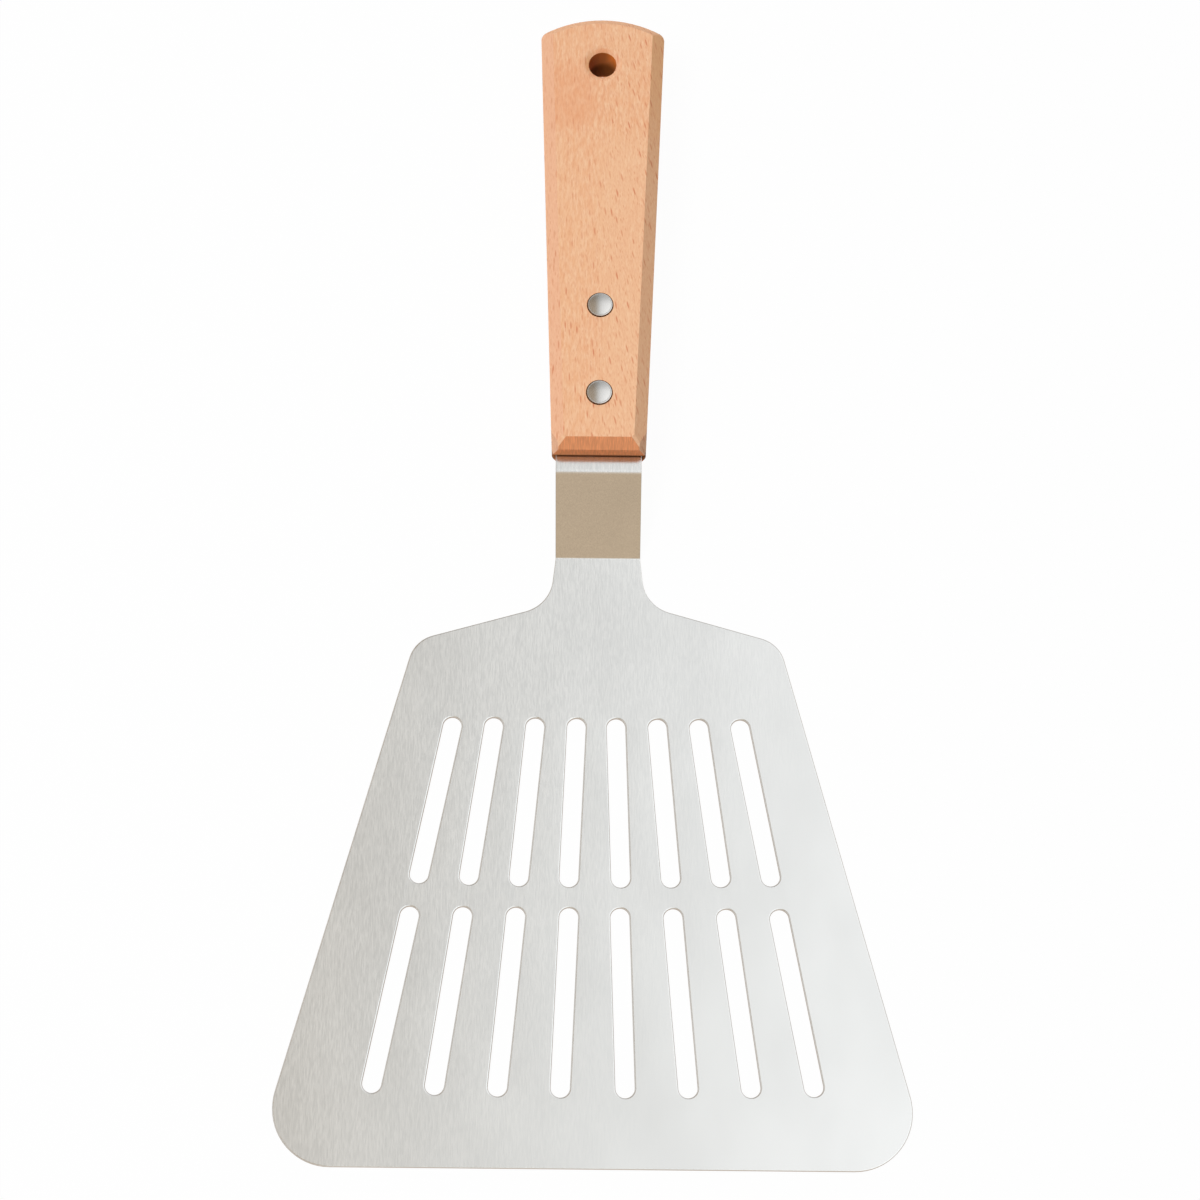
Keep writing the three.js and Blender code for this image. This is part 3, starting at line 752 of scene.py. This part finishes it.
def beech_ends(tree, sizes, coordinates):
    """Colour of the end grain with its pores, and a mask of where it shows."""
    pore_levels = (0.86, 1.12)
    facing = parts(tree, coordinates["Normal"])
    # Full on the front end, deeper in colour on its upright face, faint on the sanded rear end.
    front_end = remap(tree, facing["Y"], -0.42, -0.69, smooth=True)
    rear_end = remap(tree, facing["Y"], 0.35, 0.68, 0.0, 0.1, smooth=True)
    upright = remap(tree, facing["Y"], -0.75, -0.95, smooth=True)
    stretched = {"Vector": coordinates["Object"], "Scale": (3300, 320, 320)}
    vessels = add_node(tree, "ShaderNodeMapping", stretched).outputs["Vector"]
    pores = add_node(tree, "ShaderNodeTexNoise", {"Vector": vessels, "Scale": 1.0, "Detail": 2.0})
    shades = [
        mix_colour(tree, upright, shaded(sizes.end_grain, level), shaded(sizes.end_face, level))
        for level in pore_levels
    ]
    end_colour = mix_colour(tree, spread(tree, pores.outputs["Fac"]), *shades)
    return end_colour, math_node(tree, "ADD", front_end, rear_end)


def beech(sizes, rivets):
    """Sanded beech: pinkish patches, fine grain, short reddish flecks and orange-brown end grain, with
    painted light and shade on its sides and painted shade in its cuts.
    """
    material, tree, shader = new_material("oiled_beech")
    coordinates = add_node(tree, "ShaderNodeTexCoord").outputs
    fibre = streaks(tree, across=3400, along=700)
    wood, marks = beech_face(tree, sizes, coordinates)
    wood = mix_colour(tree, remap(tree, fibre, 0.3, 0.6, 0.28, 0.0), wood, opaque(sizes.fleck))
    wood = mix_colour(tree, marks, wood, opaque(sizes.fleck))
    end_colour, at_ends = beech_ends(tree, sizes, coordinates)
    wood = mix_colour(tree, at_ends, wood, end_colour)
    hole_y = HANDLE_HIGH.y - sizes.hole_distance
    hole = inside_hole(tree, coordinates["Object"], hole_y, sizes.hole_diameter / 2)
    wood = mix_colour(tree, hole, wood, opaque(sizes.hole_wall))
    # Painted shade in the hanging hole, the rivet seats and beside the kerf.
    dark = painted_shade_in_cuts(tree, sizes, rivets, coordinates, hole)
    wood = mix_colour(tree, dark, wood, opaque(sizes.bore))
    roughness = larger(tree, remap(tree, fibre, 0.3, 0.7, 0.50, 0.62), dark)
    relief = add_up(tree, (fibre, 0.7), (marks, -0.4))
    dress(tree, shader, wood, roughness, relief, strength=0.1, depth=0.1 * MM)
    shader.inputs["Specular IOR Level"].default_value = 0.3
    return material


# Pieces


def blade_places(sizes):
    """Where the blade's features lie along the turner, and the heights of the sheet's middle."""
    front_row_end = BLADE_LOW.y + sizes.front_margin + sizes.front_slot_length
    rear_row_end = front_row_end + sizes.row_gap + sizes.rear_slot_length
    shoulder = rear_row_end + sizes.rear_margin
    shoulder_run = (sizes.shoulder_width - sizes.neck_root_width) / 2
    neck_root = shoulder + shoulder_run * math.tan(sizes.shoulder_slope)
    lower_bend = neck_root + sizes.neck_length
    flat_z = BLADE_LOW.z + sizes.thickness / 2
    upper_bend = lower_bend + (HANDLE_MIDDLE_Z - flat_z) / math.tan(sizes.crank_angle)
    bend_radius = sizes.bend_radius + sizes.thickness / 2
    reach = bend_radius * math.tan(sizes.crank_angle / 2)
    return SimpleNamespace(
        front_row_end=front_row_end,
        rear_row_end=rear_row_end,
        shoulder=shoulder,
        neck_root=neck_root,
        flat_end=lower_bend - reach,
        riser_start=lower_bend + reach * math.cos(sizes.crank_angle),
        riser_end=upper_bend - reach * math.cos(sizes.crank_angle),
        tang_start=upper_bend + reach,
        bend_radius=bend_radius,
        flat_z=flat_z,
    )


def draw_slot_row(sizes, row_end, slot_length, pitch, height):
    """Draws one row of slots; the pitch is even at the middle of the row, and the lean grows outwards."""
    reach = slot_length - sizes.slot_width
    for i in range(sizes.slots_per_row):
        place = i - (sizes.slots_per_row - 1) / 2
        lean = math.copysign(sizes.inner_slot_angle + sizes.slot_angle_step * (abs(place) - 0.5), place)
        rear_x = place * pitch - math.sin(lean) * reach / 2
        draw_slot((rear_x, row_end - sizes.slot_width / 2), lean, reach, sizes.slot_width, height)


def level_at(height):
    """A test for edges that lie at one height."""
    return lambda edge: all(abs(vertex.co.z - height) < NEAR for vertex in edge.verts)


def model_blade(sizes):
    """Draws the flat blade and the tang, bends the neck between them, and gives the sheet its thickness."""
    at = blade_places(sizes)
    half_neck = sizes.neck_width / 2
    piece = start_piece("slotted_blade")
    draw_outline(
        both_sides(
            [
                (sizes.front_width / 2, BLADE_LOW.y, sizes.front_corner),
                (sizes.shoulder_width / 2, at.shoulder, sizes.shoulder_corner),
                (sizes.neck_root_width / 2, at.neck_root, sizes.neck_fillet),
                (half_neck, at.flat_end, 0),
            ]
        ),
        at.flat_z,
    )
    draw_slot_row(sizes, at.front_row_end, sizes.front_slot_length, sizes.front_slot_pitch, at.flat_z)
    draw_slot_row(sizes, at.rear_row_end, sizes.rear_slot_length, sizes.rear_slot_pitch, at.flat_z)
    draw_outline(
        both_sides([(half_neck, at.tang_start, 0), (half_neck, BLADE_HIGH.y, sizes.tang_corner)]),
        HANDLE_MIDDLE_Z,
    )
    for y in rivet_places():
        draw_circle(Vector((0, y, HANDLE_MIDDLE_Z)), sizes.rivet_hole)
    close_up()
    for height in (at.flat_z, HANDLE_MIDDLE_Z):
        select_where(piece, "EDGE", level_at(height))
        bpy.ops.mesh.fill(use_beauty=True)

    # The neck: up round the lower bend, along the riser, and back round the upper bend.
    select_where(
        piece,
        "EDGE",
        lambda edge: all(abs(vertex.co.y - at.flat_end) < NEAR for vertex in edge.verts),
    )
    lower_centre = Vector((0, at.flat_end, at.flat_z + at.bend_radius))
    upper_centre = Vector((0, at.tang_start, HANDLE_MIDDLE_Z - at.bend_radius))
    riser = at.riser_end - at.riser_start
    spin(sizes.crank_angle, lower_centre, (1, 0, 0), BEND_STEPS)
    bpy.ops.mesh.extrude_edges_move(
        TRANSFORM_OT_translate={"value": (0, riser, riser * math.tan(sizes.crank_angle))}
    )
    spin(-sizes.crank_angle, upper_centre, (1, 0, 0), BEND_STEPS)
    close_up()
    bpy.ops.object.mode_set(mode="OBJECT")

    apply_modifier(piece, "SOLIDIFY", thickness=sizes.thickness, offset=0.0, use_even_offset=True)
    weigh_edges(piece, sizes, at.neck_root)
    apply_modifier(
        piece,
        "BEVEL",
        width=sizes.edge_radius,
        segments=SHEET_ROUNDING_STEPS,
        limit_method="WEIGHT",
        use_clamp_overlap=False,
        loop_slide=False,
    )
    close_up_whole()
    map_brushing(piece)
    return piece


def weigh_edges(piece, sizes, neck_root):
    """Marks the sheet's sharp edges for rounding; along the neck's fillets the share falls to the neck's."""
    start = neck_root - 0.2 * sizes.neck_fillet
    end = neck_root + 0.65 * sizes.neck_fillet
    bpy.ops.object.mode_set(mode="EDIT")
    shape = bmesh.from_edit_mesh(piece.data)
    weight = shape.edges.layers.float.new("bevel_weight_edge")
    for edge in shape.edges:
        if edge.calc_face_angle() > SHEET_EDGE:
            y = (edge.verts[0].co.y + edge.verts[1].co.y) / 2
            along = min(1.0, max(0.0, (y - start) / (end - start)))
            edge[weight] = 1.0 + (sizes.neck_rounding - 1.0) * along
    bmesh.update_edit_mesh(piece.data)
    bpy.ops.object.mode_set(mode="OBJECT")


def map_brushing(piece):
    """Gives the sheet a map whose first direction runs across it and whose second runs along it."""
    layer = piece.data.uv_layers.new(name=BRUSHING_MAP)
    for loop in piece.data.loops:
        place = piece.data.vertices[loop.vertex_index].co
        layer.data[loop.index].uv = (place.x, place.y + place.z)


def handle_ends(sizes):
    """Where the handle's sides, end arc and corner arcs lie, on its right half."""
    lean = math.atan2((sizes.rear_width - sizes.front_width) / 2, HANDLE_LENGTH)
    arc_y = HANDLE_HIGH.y - sizes.end_arc
    # A corner arc touches the side and the end arc from inside.
    side_x = sizes.front_width / 2 + math.tan(lean) * (arc_y - HANDLE_LOW.y)
    inside = sizes.end_arc - sizes.end_corner
    corner_turn = math.acos((side_x * math.cos(lean) - sizes.end_corner) / inside) - lean
    return SimpleNamespace(
        lean=lean,
        arc_y=arc_y,
        corner_turn=corner_turn,
        corner_x=inside * math.cos(corner_turn),
        corner_y=arc_y + inside * math.sin(corner_turn),
    )


def draw_handle_outline(sizes, height):
    """Draws the handle from above: tapered sides, an arc at the rear and small round corners."""
    ends = handle_ends(sizes)
    easing = sizes.front_easing
    front_x = sizes.front_width / 2 - easing
    right_corner = Vector((ends.corner_x, ends.corner_y, height))
    left_corner = Vector((-ends.corner_x, ends.corner_y, height))
    right_front = Vector((front_x, HANDLE_LOW.y + easing, height))
    left_front = Vector((-front_x, HANDLE_LOW.y + easing, height))
    forwards = Vector((0, -1, 0))
    outwards = Vector((math.cos(ends.lean), -math.sin(ends.lean), 0))
    left_outwards = Vector((-outwards.x, outwards.y, 0))

    pen = Pen(left_front + forwards * easing)
    pen.line_to(right_front + forwards * easing)
    pen.arc(right_front, math.pi / 2 - ends.lean)
    pen.line_to(right_corner + outwards * sizes.end_corner)
    pen.arc(right_corner, ends.corner_turn + ends.lean, END_STEP)
    pen.arc(Vector((0, ends.arc_y, height)), math.pi - 2 * ends.corner_turn, END_STEP)
    pen.arc(left_corner, ends.corner_turn + ends.lean, END_STEP)
    pen.line_to(left_front + left_outwards * easing)
    pen.arc(left_front, math.pi / 2 - ends.lean)


def slice_off(place, normal):
    """Cuts the open piece along a plane, takes away what the normal points to and closes the cut."""
    bpy.ops.mesh.select_all(action="SELECT")
    bpy.ops.mesh.bisect(
        plane_co=place, plane_no=normal, use_fill=True, clear_outer=True, threshold=MERGE_DISTANCE
    )


def face_height(above):
    """Height of the handle's upper face, for 1, or its lower face, for -1."""
    return HANDLE_MIDDLE_Z + above * HANDLE_THICKNESS / 2


def long_facets(sizes, above):
    """The planes of the front bevel, the two long chamfers and the sanded front corners, above or below."""
    ends = handle_ends(sizes)
    face_z = face_height(above)
    up = Vector((0, 0, above))
    front_normal = (Vector((0, -1, 0)) + up).normalized()
    front_place = Vector((0, HANDLE_LOW.y + sizes.front_bevel, face_z))
    facets = [(front_place, front_normal)]
    for side in (1, -1):
        outwards = Vector((side * math.cos(ends.lean), -math.sin(ends.lean), 0))
        edge = Vector((side * sizes.front_width / 2, HANDLE_LOW.y, face_z))
        place = edge - outwards * sizes.chamfer
        normal = (outwards + up).normalized()
        facets.append((place, normal))
        # The corner is sanded away more and more with the distance from the kerf.
        corner_x = edge.x - side * sizes.corner_depth
        kerf_corner = Vector((corner_x, edge.y, HANDLE_MIDDLE_Z + above * sizes.kerf_height / 2))
        level = Vector((side * math.cos(sizes.corner_turn), -math.sin(sizes.corner_turn), 0))
        slant = level * math.cos(sizes.corner_draft) + up * math.sin(sizes.corner_draft)
        facets.append((kerf_corner, slant))
        # Where bevel and chamfer meet, a little is sanded off between them.
        meeting = three_planes((front_place, front_normal), (place, normal), (edge, up))
        mitre_normal = (front_normal + normal).normalized()
        facets.append((meeting - mitre_normal * sizes.mitre_depth, mitre_normal))
    return facets


def rear_facets(sizes, above):
    """The planes of the bevel that follows the rear end and its corners, above or below."""
    ends = handle_ends(sizes)
    up = Vector((0, 0, above))
    left_turn = math.pi - ends.corner_turn
    arcs = [
        (ends.corner_x, ends.corner_y, sizes.end_corner, -ends.lean, ends.corner_turn),
        (0, ends.arc_y, sizes.end_arc, ends.corner_turn, left_turn),
        (-ends.corner_x, ends.corner_y, sizes.end_corner, left_turn, math.pi + ends.lean),
    ]
    facets = []
    for x, y, radius, first, last in arcs:
        steps = arc_steps(last - first, END_STEP)
        for i in range(steps):
            direction = first + (last - first) * (i + 0.5) / steps
            outwards = Vector((math.cos(direction), math.sin(direction), 0))
            # Beside the chamfers the bevel grows to their width.
            beside = max(0.0, (ends.corner_turn - min(direction, math.pi - direction)))
            growth = (sizes.chamfer - sizes.end_bevel) * beside / (ends.corner_turn + ends.lean)
            width = sizes.end_bevel + growth
            place = Vector((x, y, face_height(above))) + outwards * (radius - width)
            facets.append((place, (outwards + up).normalized()))
    return facets


def three_planes(*planes):
    """The point that three planes, each a point and a normal, have in common."""
    normals = Matrix([normal for _, normal in planes])
    offsets = Vector([normal.dot(place) for place, normal in planes])
    return normals.inverted() @ offsets


def mirrored(profile):
    """The same (radius, height) points upside down."""
    return [(radius, -height) for radius, height in profile]


def through_hole(upper):
    """A cutter's whole profile, from the upper half of it."""
    return mirrored(upper)[::-1] + upper


def hanging_hole_profile(sizes):
    """(radius, height) points of the hanging hole's cutter, with a shallow dish at each face."""
    face = HANDLE_THICKNESS / 2
    top = face + CUT_OVERSHOOT
    inner = sizes.hole_diameter / 2
    outer = sizes.dish_diameter / 2
    slope = outer - inner
    flare = outer + 0.4 * slope
    return through_hole(
        [
            (inner, face - sizes.dish_depth),
            (inner + 0.5 * slope, face - 0.45 * sizes.dish_depth),
            (outer, face),
            (flare, face + 0.3 * sizes.dish_depth),
            (flare, top),
            (0, top),
        ]
    )


def seat_radius(rivets):
    """Radius of the round seat that takes a rivet's head."""
    return rivets.head / 2 + rivets.seat_ring


def rivet_hole_profile(rivets, hole):
    """(radius, height) points of a rivet's cutter: a hole with a seat for each head."""
    face = HANDLE_THICKNESS / 2
    seat = seat_radius(rivets)
    floor = face - rivets.seat_depth
    top = face + CUT_OVERSHOOT
    return through_hole([(hole / 2, floor), (seat, floor), (seat, top), (0, top)])


def kerf_cutter(sizes):
    """A block for the saw kerf, which runs out through both sides of the handle."""
    depth = sizes.kerf_depth + CUT_OVERSHOOT
    bpy.ops.object.select_all(action="DESELECT")
    bpy.ops.mesh.primitive_cube_add(
        size=1,
        location=(0, HANDLE_LOW.y - CUT_OVERSHOOT + depth / 2, HANDLE_MIDDLE_Z),
        scale=(sizes.rear_width * 2, depth, sizes.kerf_height),
    )
    return bpy.context.active_object


def model_handle(sizes, rivets, rivet_hole):
    """Planes the handle out of a block, eases its edges, and cuts its kerf and holes."""
    piece = start_piece("beech_handle")
    draw_handle_outline(sizes, HANDLE_LOW.z)
    close_up()
    bpy.ops.mesh.edge_face_add()
    bpy.ops.mesh.extrude_region_move(TRANSFORM_OT_translate={"value": (0, 0, HANDLE_THICKNESS)})
    close_up()
    for above in (1, -1):
        for place, normal in long_facets(sizes, above) + rear_facets(sizes, above):
            slice_off(place, normal)
    close_up()
    bpy.ops.object.mode_set(mode="OBJECT")
    apply_modifier(
        piece,
        "BEVEL",
        width=sizes.edge_radius,
        segments=WOOD_ROUNDING_STEPS,
        limit_method="ANGLE",
        angle_limit=WOOD_EDGE,
    )
    cut(piece, kerf_cutter(sizes))
    # The round holes are cut in one go, so that no cut crosses the edges that another one has left.
    hole_y = HANDLE_HIGH.y - sizes.hole_distance
    hole_cutter = turned_piece("hole_cutter", hanging_hole_profile(sizes), hole_y)
    front, rear = rivet_places()
    front_cutter = turned_piece("front_cutter", rivet_hole_profile(rivets, rivet_hole), front)
    rear_cutter = copied_along(front_cutter, "rear_cutter", rear - front)
    cut(piece, joined(hole_cutter, front_cutter, rear_cutter))
    close_up_whole(SLIVER)
    return piece


def crown_points(rivets):
    """(radius, height) points of a rivet head's face: a rounded lip, a fine groove and a low dome."""
    radius = rivets.head / 2
    dome = radius - rivets.lip
    crown = RIVET_TOP - HANDLE_HIGH.z
    top = HANDLE_THICKNESS / 2 + crown
    foot = top - crown + rivets.rim
    rise = top - foot
    sphere = (dome**2 + rise**2) / (2 * rise)
    dome_turn = math.asin(dome / sphere)
    easing = rivets.rim_radius
    # The middle of the rounded edge lies this far in from the sharp corner.
    inset = 0.3 * easing
    lip = [
        (radius, foot - easing),
        (radius - inset, foot - inset),
        (radius - easing, foot),
        (dome + rivets.groove, foot),
        (dome, foot - rivets.groove),
    ]
    face = []
    for i in range(CROWN_STEPS + 1):
        turn = dome_turn * (1 - i / CROWN_STEPS)
        face.append((sphere * math.sin(turn), top - sphere * (1 - math.cos(turn))))
    face[-1] = (0, top)
    return lip + face


def under_head(rivets):
    """Height of a head's underside from the handle's middle."""
    return HANDLE_THICKNESS / 2 - rivets.seat_depth + rivets.seat_gap


def solid_half_profile(rivets):
    """(radius, height) points of the half with the solid shank, head at the top."""
    seat = under_head(rivets)
    shank = rivets.shank / 2
    end = -seat + rivets.end_gap
    return [
        (0, end),
        (shank - rivets.shank_tip, end),
        (shank, end + rivets.shank_tip),
        (shank, seat),
        (rivets.head / 2, seat),
    ] + crown_points(rivets)


def tube_half_profile(rivets):
    """(radius, height) points of the half with the tube, head at the bottom."""
    seat = under_head(rivets)
    mouth = -seat + rivets.end_gap
    upright = [
        (0, seat),
        (rivets.bore / 2, seat),
        (rivets.bore / 2, mouth),
        (rivets.tube / 2, mouth),
        (rivets.tube / 2, seat),
        (rivets.head / 2, seat),
    ] + crown_points(rivets)
    return mirrored(upright)


class TURNER_OT_blade(bpy.types.Operator):
    """Model the slotted blade with its cranked neck and tang"""

    bl_idname = "turner.make_blade"
    bl_label = "Blade"

    def execute(self, context):
        sizes = context.scene.turner_blade
        piece = model_blade(sizes)
        finish_piece(piece, "blade", blade_steel(sizes), STEEL_CREASE)
        return {"FINISHED"}


class TURNER_OT_handle(bpy.types.Operator):
    """Model the beech handle with its kerf and holes"""

    bl_idname = "turner.make_handle"
    bl_label = "Handle"

    def execute(self, context):
        sizes = context.scene.turner_handle
        rivets = context.scene.turner_rivets
        piece = model_handle(sizes, rivets, context.scene.turner_blade.rivet_hole)
        finish_piece(piece, "handle", beech(sizes, rivets), WOOD_CREASE)
        return {"FINISHED"}


class TURNER_OT_rivets(bpy.types.Operator):
    """Model the two halves of both rivets"""

    bl_idname = "turner.make_rivets"
    bl_label = "Rivets"

    def execute(self, context):
        rivets = context.scene.turner_rivets
        material = rivet_steel(rivets.steel)
        front, rear = rivet_places()
        for half, node, profile in (
            ("upper", "solid_half", solid_half_profile(rivets)),
            ("lower", "tube_half", tube_half_profile(rivets)),
        ):
            first = turned_piece(f"front_rivet_{half}", profile, front)
            second = copied_along(first, f"rear_rivet_{half}", rear - front)
            for piece, name in zip((first, second), RIVET_NAMES):
                finish_piece(piece, f"{name}_{node}", material, STEEL_CREASE)
        return {"FINISHED"}


# Stage


def mix_shader(tree, factor, first, second):
    return add_node(tree, "ShaderNodeMixShader", {0: factor, 1: first, 2: second}).outputs[0]


def background(tree, shade, strength):
    return add_node(tree, "ShaderNodeBackground", {"Color": shade, "Strength": strength}).outputs[0]


def floor_material(rgb, mirrored_rgb):
    """White to the camera and warm grey in reflections, with a share of real light for the shadow."""
    glow_share = 0.97
    material, tree, shader = new_material("white_floor")
    shader.inputs["Base Color"].default_value = opaque(rgb)
    shader.inputs["Roughness"].default_value = 0.9
    path = add_node(tree, "ShaderNodeLightPath").outputs
    shown = mix_colour(tree, path["Is Glossy Ray"], opaque(WHITE), opaque(mirrored_rgb))
    glow = add_node(tree, "ShaderNodeEmission", {"Color": shown, "Strength": 1.0}).outputs[0]
    seen = larger(tree, path["Is Camera Ray"], path["Is Glossy Ray"])
    share = times(tree, seen, glow_share)
    mixed = mix_shader(tree, share, shader.outputs[0], glow)
    tree.links.new(mixed, tree.nodes["Material Output"].inputs["Surface"])
    return material


def make_world(stage):
    """White to the camera; metal reflects a pale studio, brighter on the right and warm low down in front."""
    world = bpy.data.worlds.new("studio")
    world.use_nodes = True
    bpy.context.scene.world = world
    tree = world.node_tree
    tree.nodes.clear()
    direction = parts(tree, add_node(tree, "ShaderNodeTexCoord").outputs["Generated"])
    # From left to right, each wall takes over from the one before between two directions.
    walls = opaque(stage.side)
    for start, end, wall in (
        (-0.8, -0.55, stage.far_left),
        (-0.23, -0.08, stage.left),
        (-0.08, 0.0, stage.above),
        (0.0, 0.07, stage.right),
        (0.20, 0.42, stage.far_right),
        (0.55, 0.8, stage.side),
    ):
        walls = mix_colour(tree, remap(tree, direction["X"], start, end), walls, opaque(wall))
    # Behind the handle they grow dimmer, in two steps.
    for start, end, dimming in ((0.1, 0.27, 0.06), (0.42, 0.75, 0.42)):
        behind = remap(tree, direction["Y"], start, end, 0.0, dimming)
        walls = mix_colour(tree, behind, walls, opaque(BLACK))
    ahead = remap(tree, direction["Y"], -0.74, -0.86, smooth=True)
    horizon = mix_colour(tree, ahead, opaque(stage.horizon), opaque(stage.front))
    horizon_behind = remap(tree, direction["Y"], 0.42, 0.9, 0.0, 0.25)
    horizon = mix_colour(tree, horizon_behind, horizon, opaque(BLACK))
    low_down = remap(tree, direction["Z"], 0.38, 0.55, 1.0, 0.0, smooth=True)
    reflected = background(tree, mix_colour(tree, low_down, walls, horizon), stage.studio)
    plain = background(tree, opaque(WHITE), stage.ambient)
    backdrop = background(tree, opaque(WHITE), 1.0)
    path = add_node(tree, "ShaderNodeLightPath").outputs
    lit = mix_shader(tree, path["Is Glossy Ray"], plain, reflected)
    seen = mix_shader(tree, path["Is Camera Ray"], lit, backdrop)
    add_node(tree, "ShaderNodeOutputWorld", {"Surface": seen})


def make_camera(stage):
    """Puts the camera above the turner's front, tilted back and turned a little about its own axis."""
    right = Vector((1, 0, 0))
    up = Vector((0, math.cos(stage.tilt), math.sin(stage.tilt)))
    forward = up.cross(right)
    sin_roll, cos_roll = math.sin(stage.roll), math.cos(stage.roll)
    across = right * cos_roll - up * sin_roll
    upwards = right * sin_roll + up * cos_roll
    pose = Matrix((across, upwards, -forward)).transposed()
    place = Vector(stage.aim) - forward * stage.distance
    bpy.ops.object.camera_add(location=place, rotation=pose.to_euler())
    camera = bpy.context.active_object
    camera.name = "camera"
    camera.data.sensor_width = SENSOR_WIDTH
    camera.data.lens = stage.lens
    camera.data.clip_start = CLIP_START
    bpy.context.scene.camera = camera


def add_lamp(name, place, power, size):
    """Adds a soft square lamp that faces the turner and that metal doesn't mirror."""
    towards = (-Vector(place)).to_track_quat("-Z", "Y").to_euler()
    bpy.ops.object.light_add(type="AREA", location=place, rotation=towards)
    lamp = bpy.context.active_object
    lamp.name = name
    lamp.data.shape = "SQUARE"
    lamp.data.size = size
    lamp.data.energy = power
    lamp.visible_glossy = False


class TURNER_OT_stage(bpy.types.Operator):
    """Add the floor, the lamps, the surroundings and the camera"""

    bl_idname = "turner.make_stage"
    bl_label = "Stage"

    def execute(self, context):
        stage = context.scene.turner_stage
        bpy.ops.object.select_all(action="DESELECT")
        bpy.ops.mesh.primitive_plane_add(size=FLOOR_SIZE, location=(0, 0, BLADE_LOW.z - FLOOR_GAP))
        floor = context.active_object
        floor.name = "floor"
        floor.data.materials.append(floor_material(stage.floor, stage.mirrored_floor))

        add_lamp("key_lamp", stage.key_place, stage.key_power, stage.key_size)
        add_lamp("back_lamp", stage.back_place, stage.back_power, stage.back_size)
        make_world(stage)
        make_camera(stage)
        context.scene.view_settings.view_transform = "Standard"
        return {"FINISHED"}


class TURNER_PT_sidebar(bpy.types.Panel):
    """Settings and build steps of the turner"""

    bl_idname = "TURNER_PT_sidebar"
    bl_label = "Kitchen turner"
    bl_space_type = "VIEW_3D"
    bl_region_type = "UI"
    bl_category = "Turner"

    def draw(self, context):
        for operator, settings_name in BUILD_STEPS:
            box = self.layout.box()
            settings = getattr(context.scene, settings_name)
            for name in settings.__annotations__:
                box.prop(settings, name)
            box.operator(operator.bl_idname)


SETTINGS = {
    "turner_blade": TurnerBladeSettings,
    "turner_handle": TurnerHandleSettings,
    "turner_rivets": TurnerRivetSettings,
    "turner_stage": TurnerStageSettings,
}
BUILD_STEPS = (
    (TURNER_OT_blade, "turner_blade"),
    (TURNER_OT_handle, "turner_handle"),
    (TURNER_OT_rivets, "turner_rivets"),
    (TURNER_OT_stage, "turner_stage"),
)
CLASSES = (*SETTINGS.values(), *(operator for operator, _ in BUILD_STEPS), TURNER_PT_sidebar)


def register():
    for cls in CLASSES:
        bpy.utils.register_class(cls)
    for name, settings in SETTINGS.items():
        setattr(bpy.types.Scene, name, bpy.props.PointerProperty(type=settings))


def unregister():
    for name in SETTINGS:
        delattr(bpy.types.Scene, name)
    for cls in reversed(CLASSES):
        bpy.utils.unregister_class(cls)


def main():
    register()
    bpy.ops.turner.make_blade()
    bpy.ops.turner.make_handle()
    bpy.ops.turner.make_rivets()
    bpy.ops.turner.make_stage()


if __name__ == "__main__":
    main()
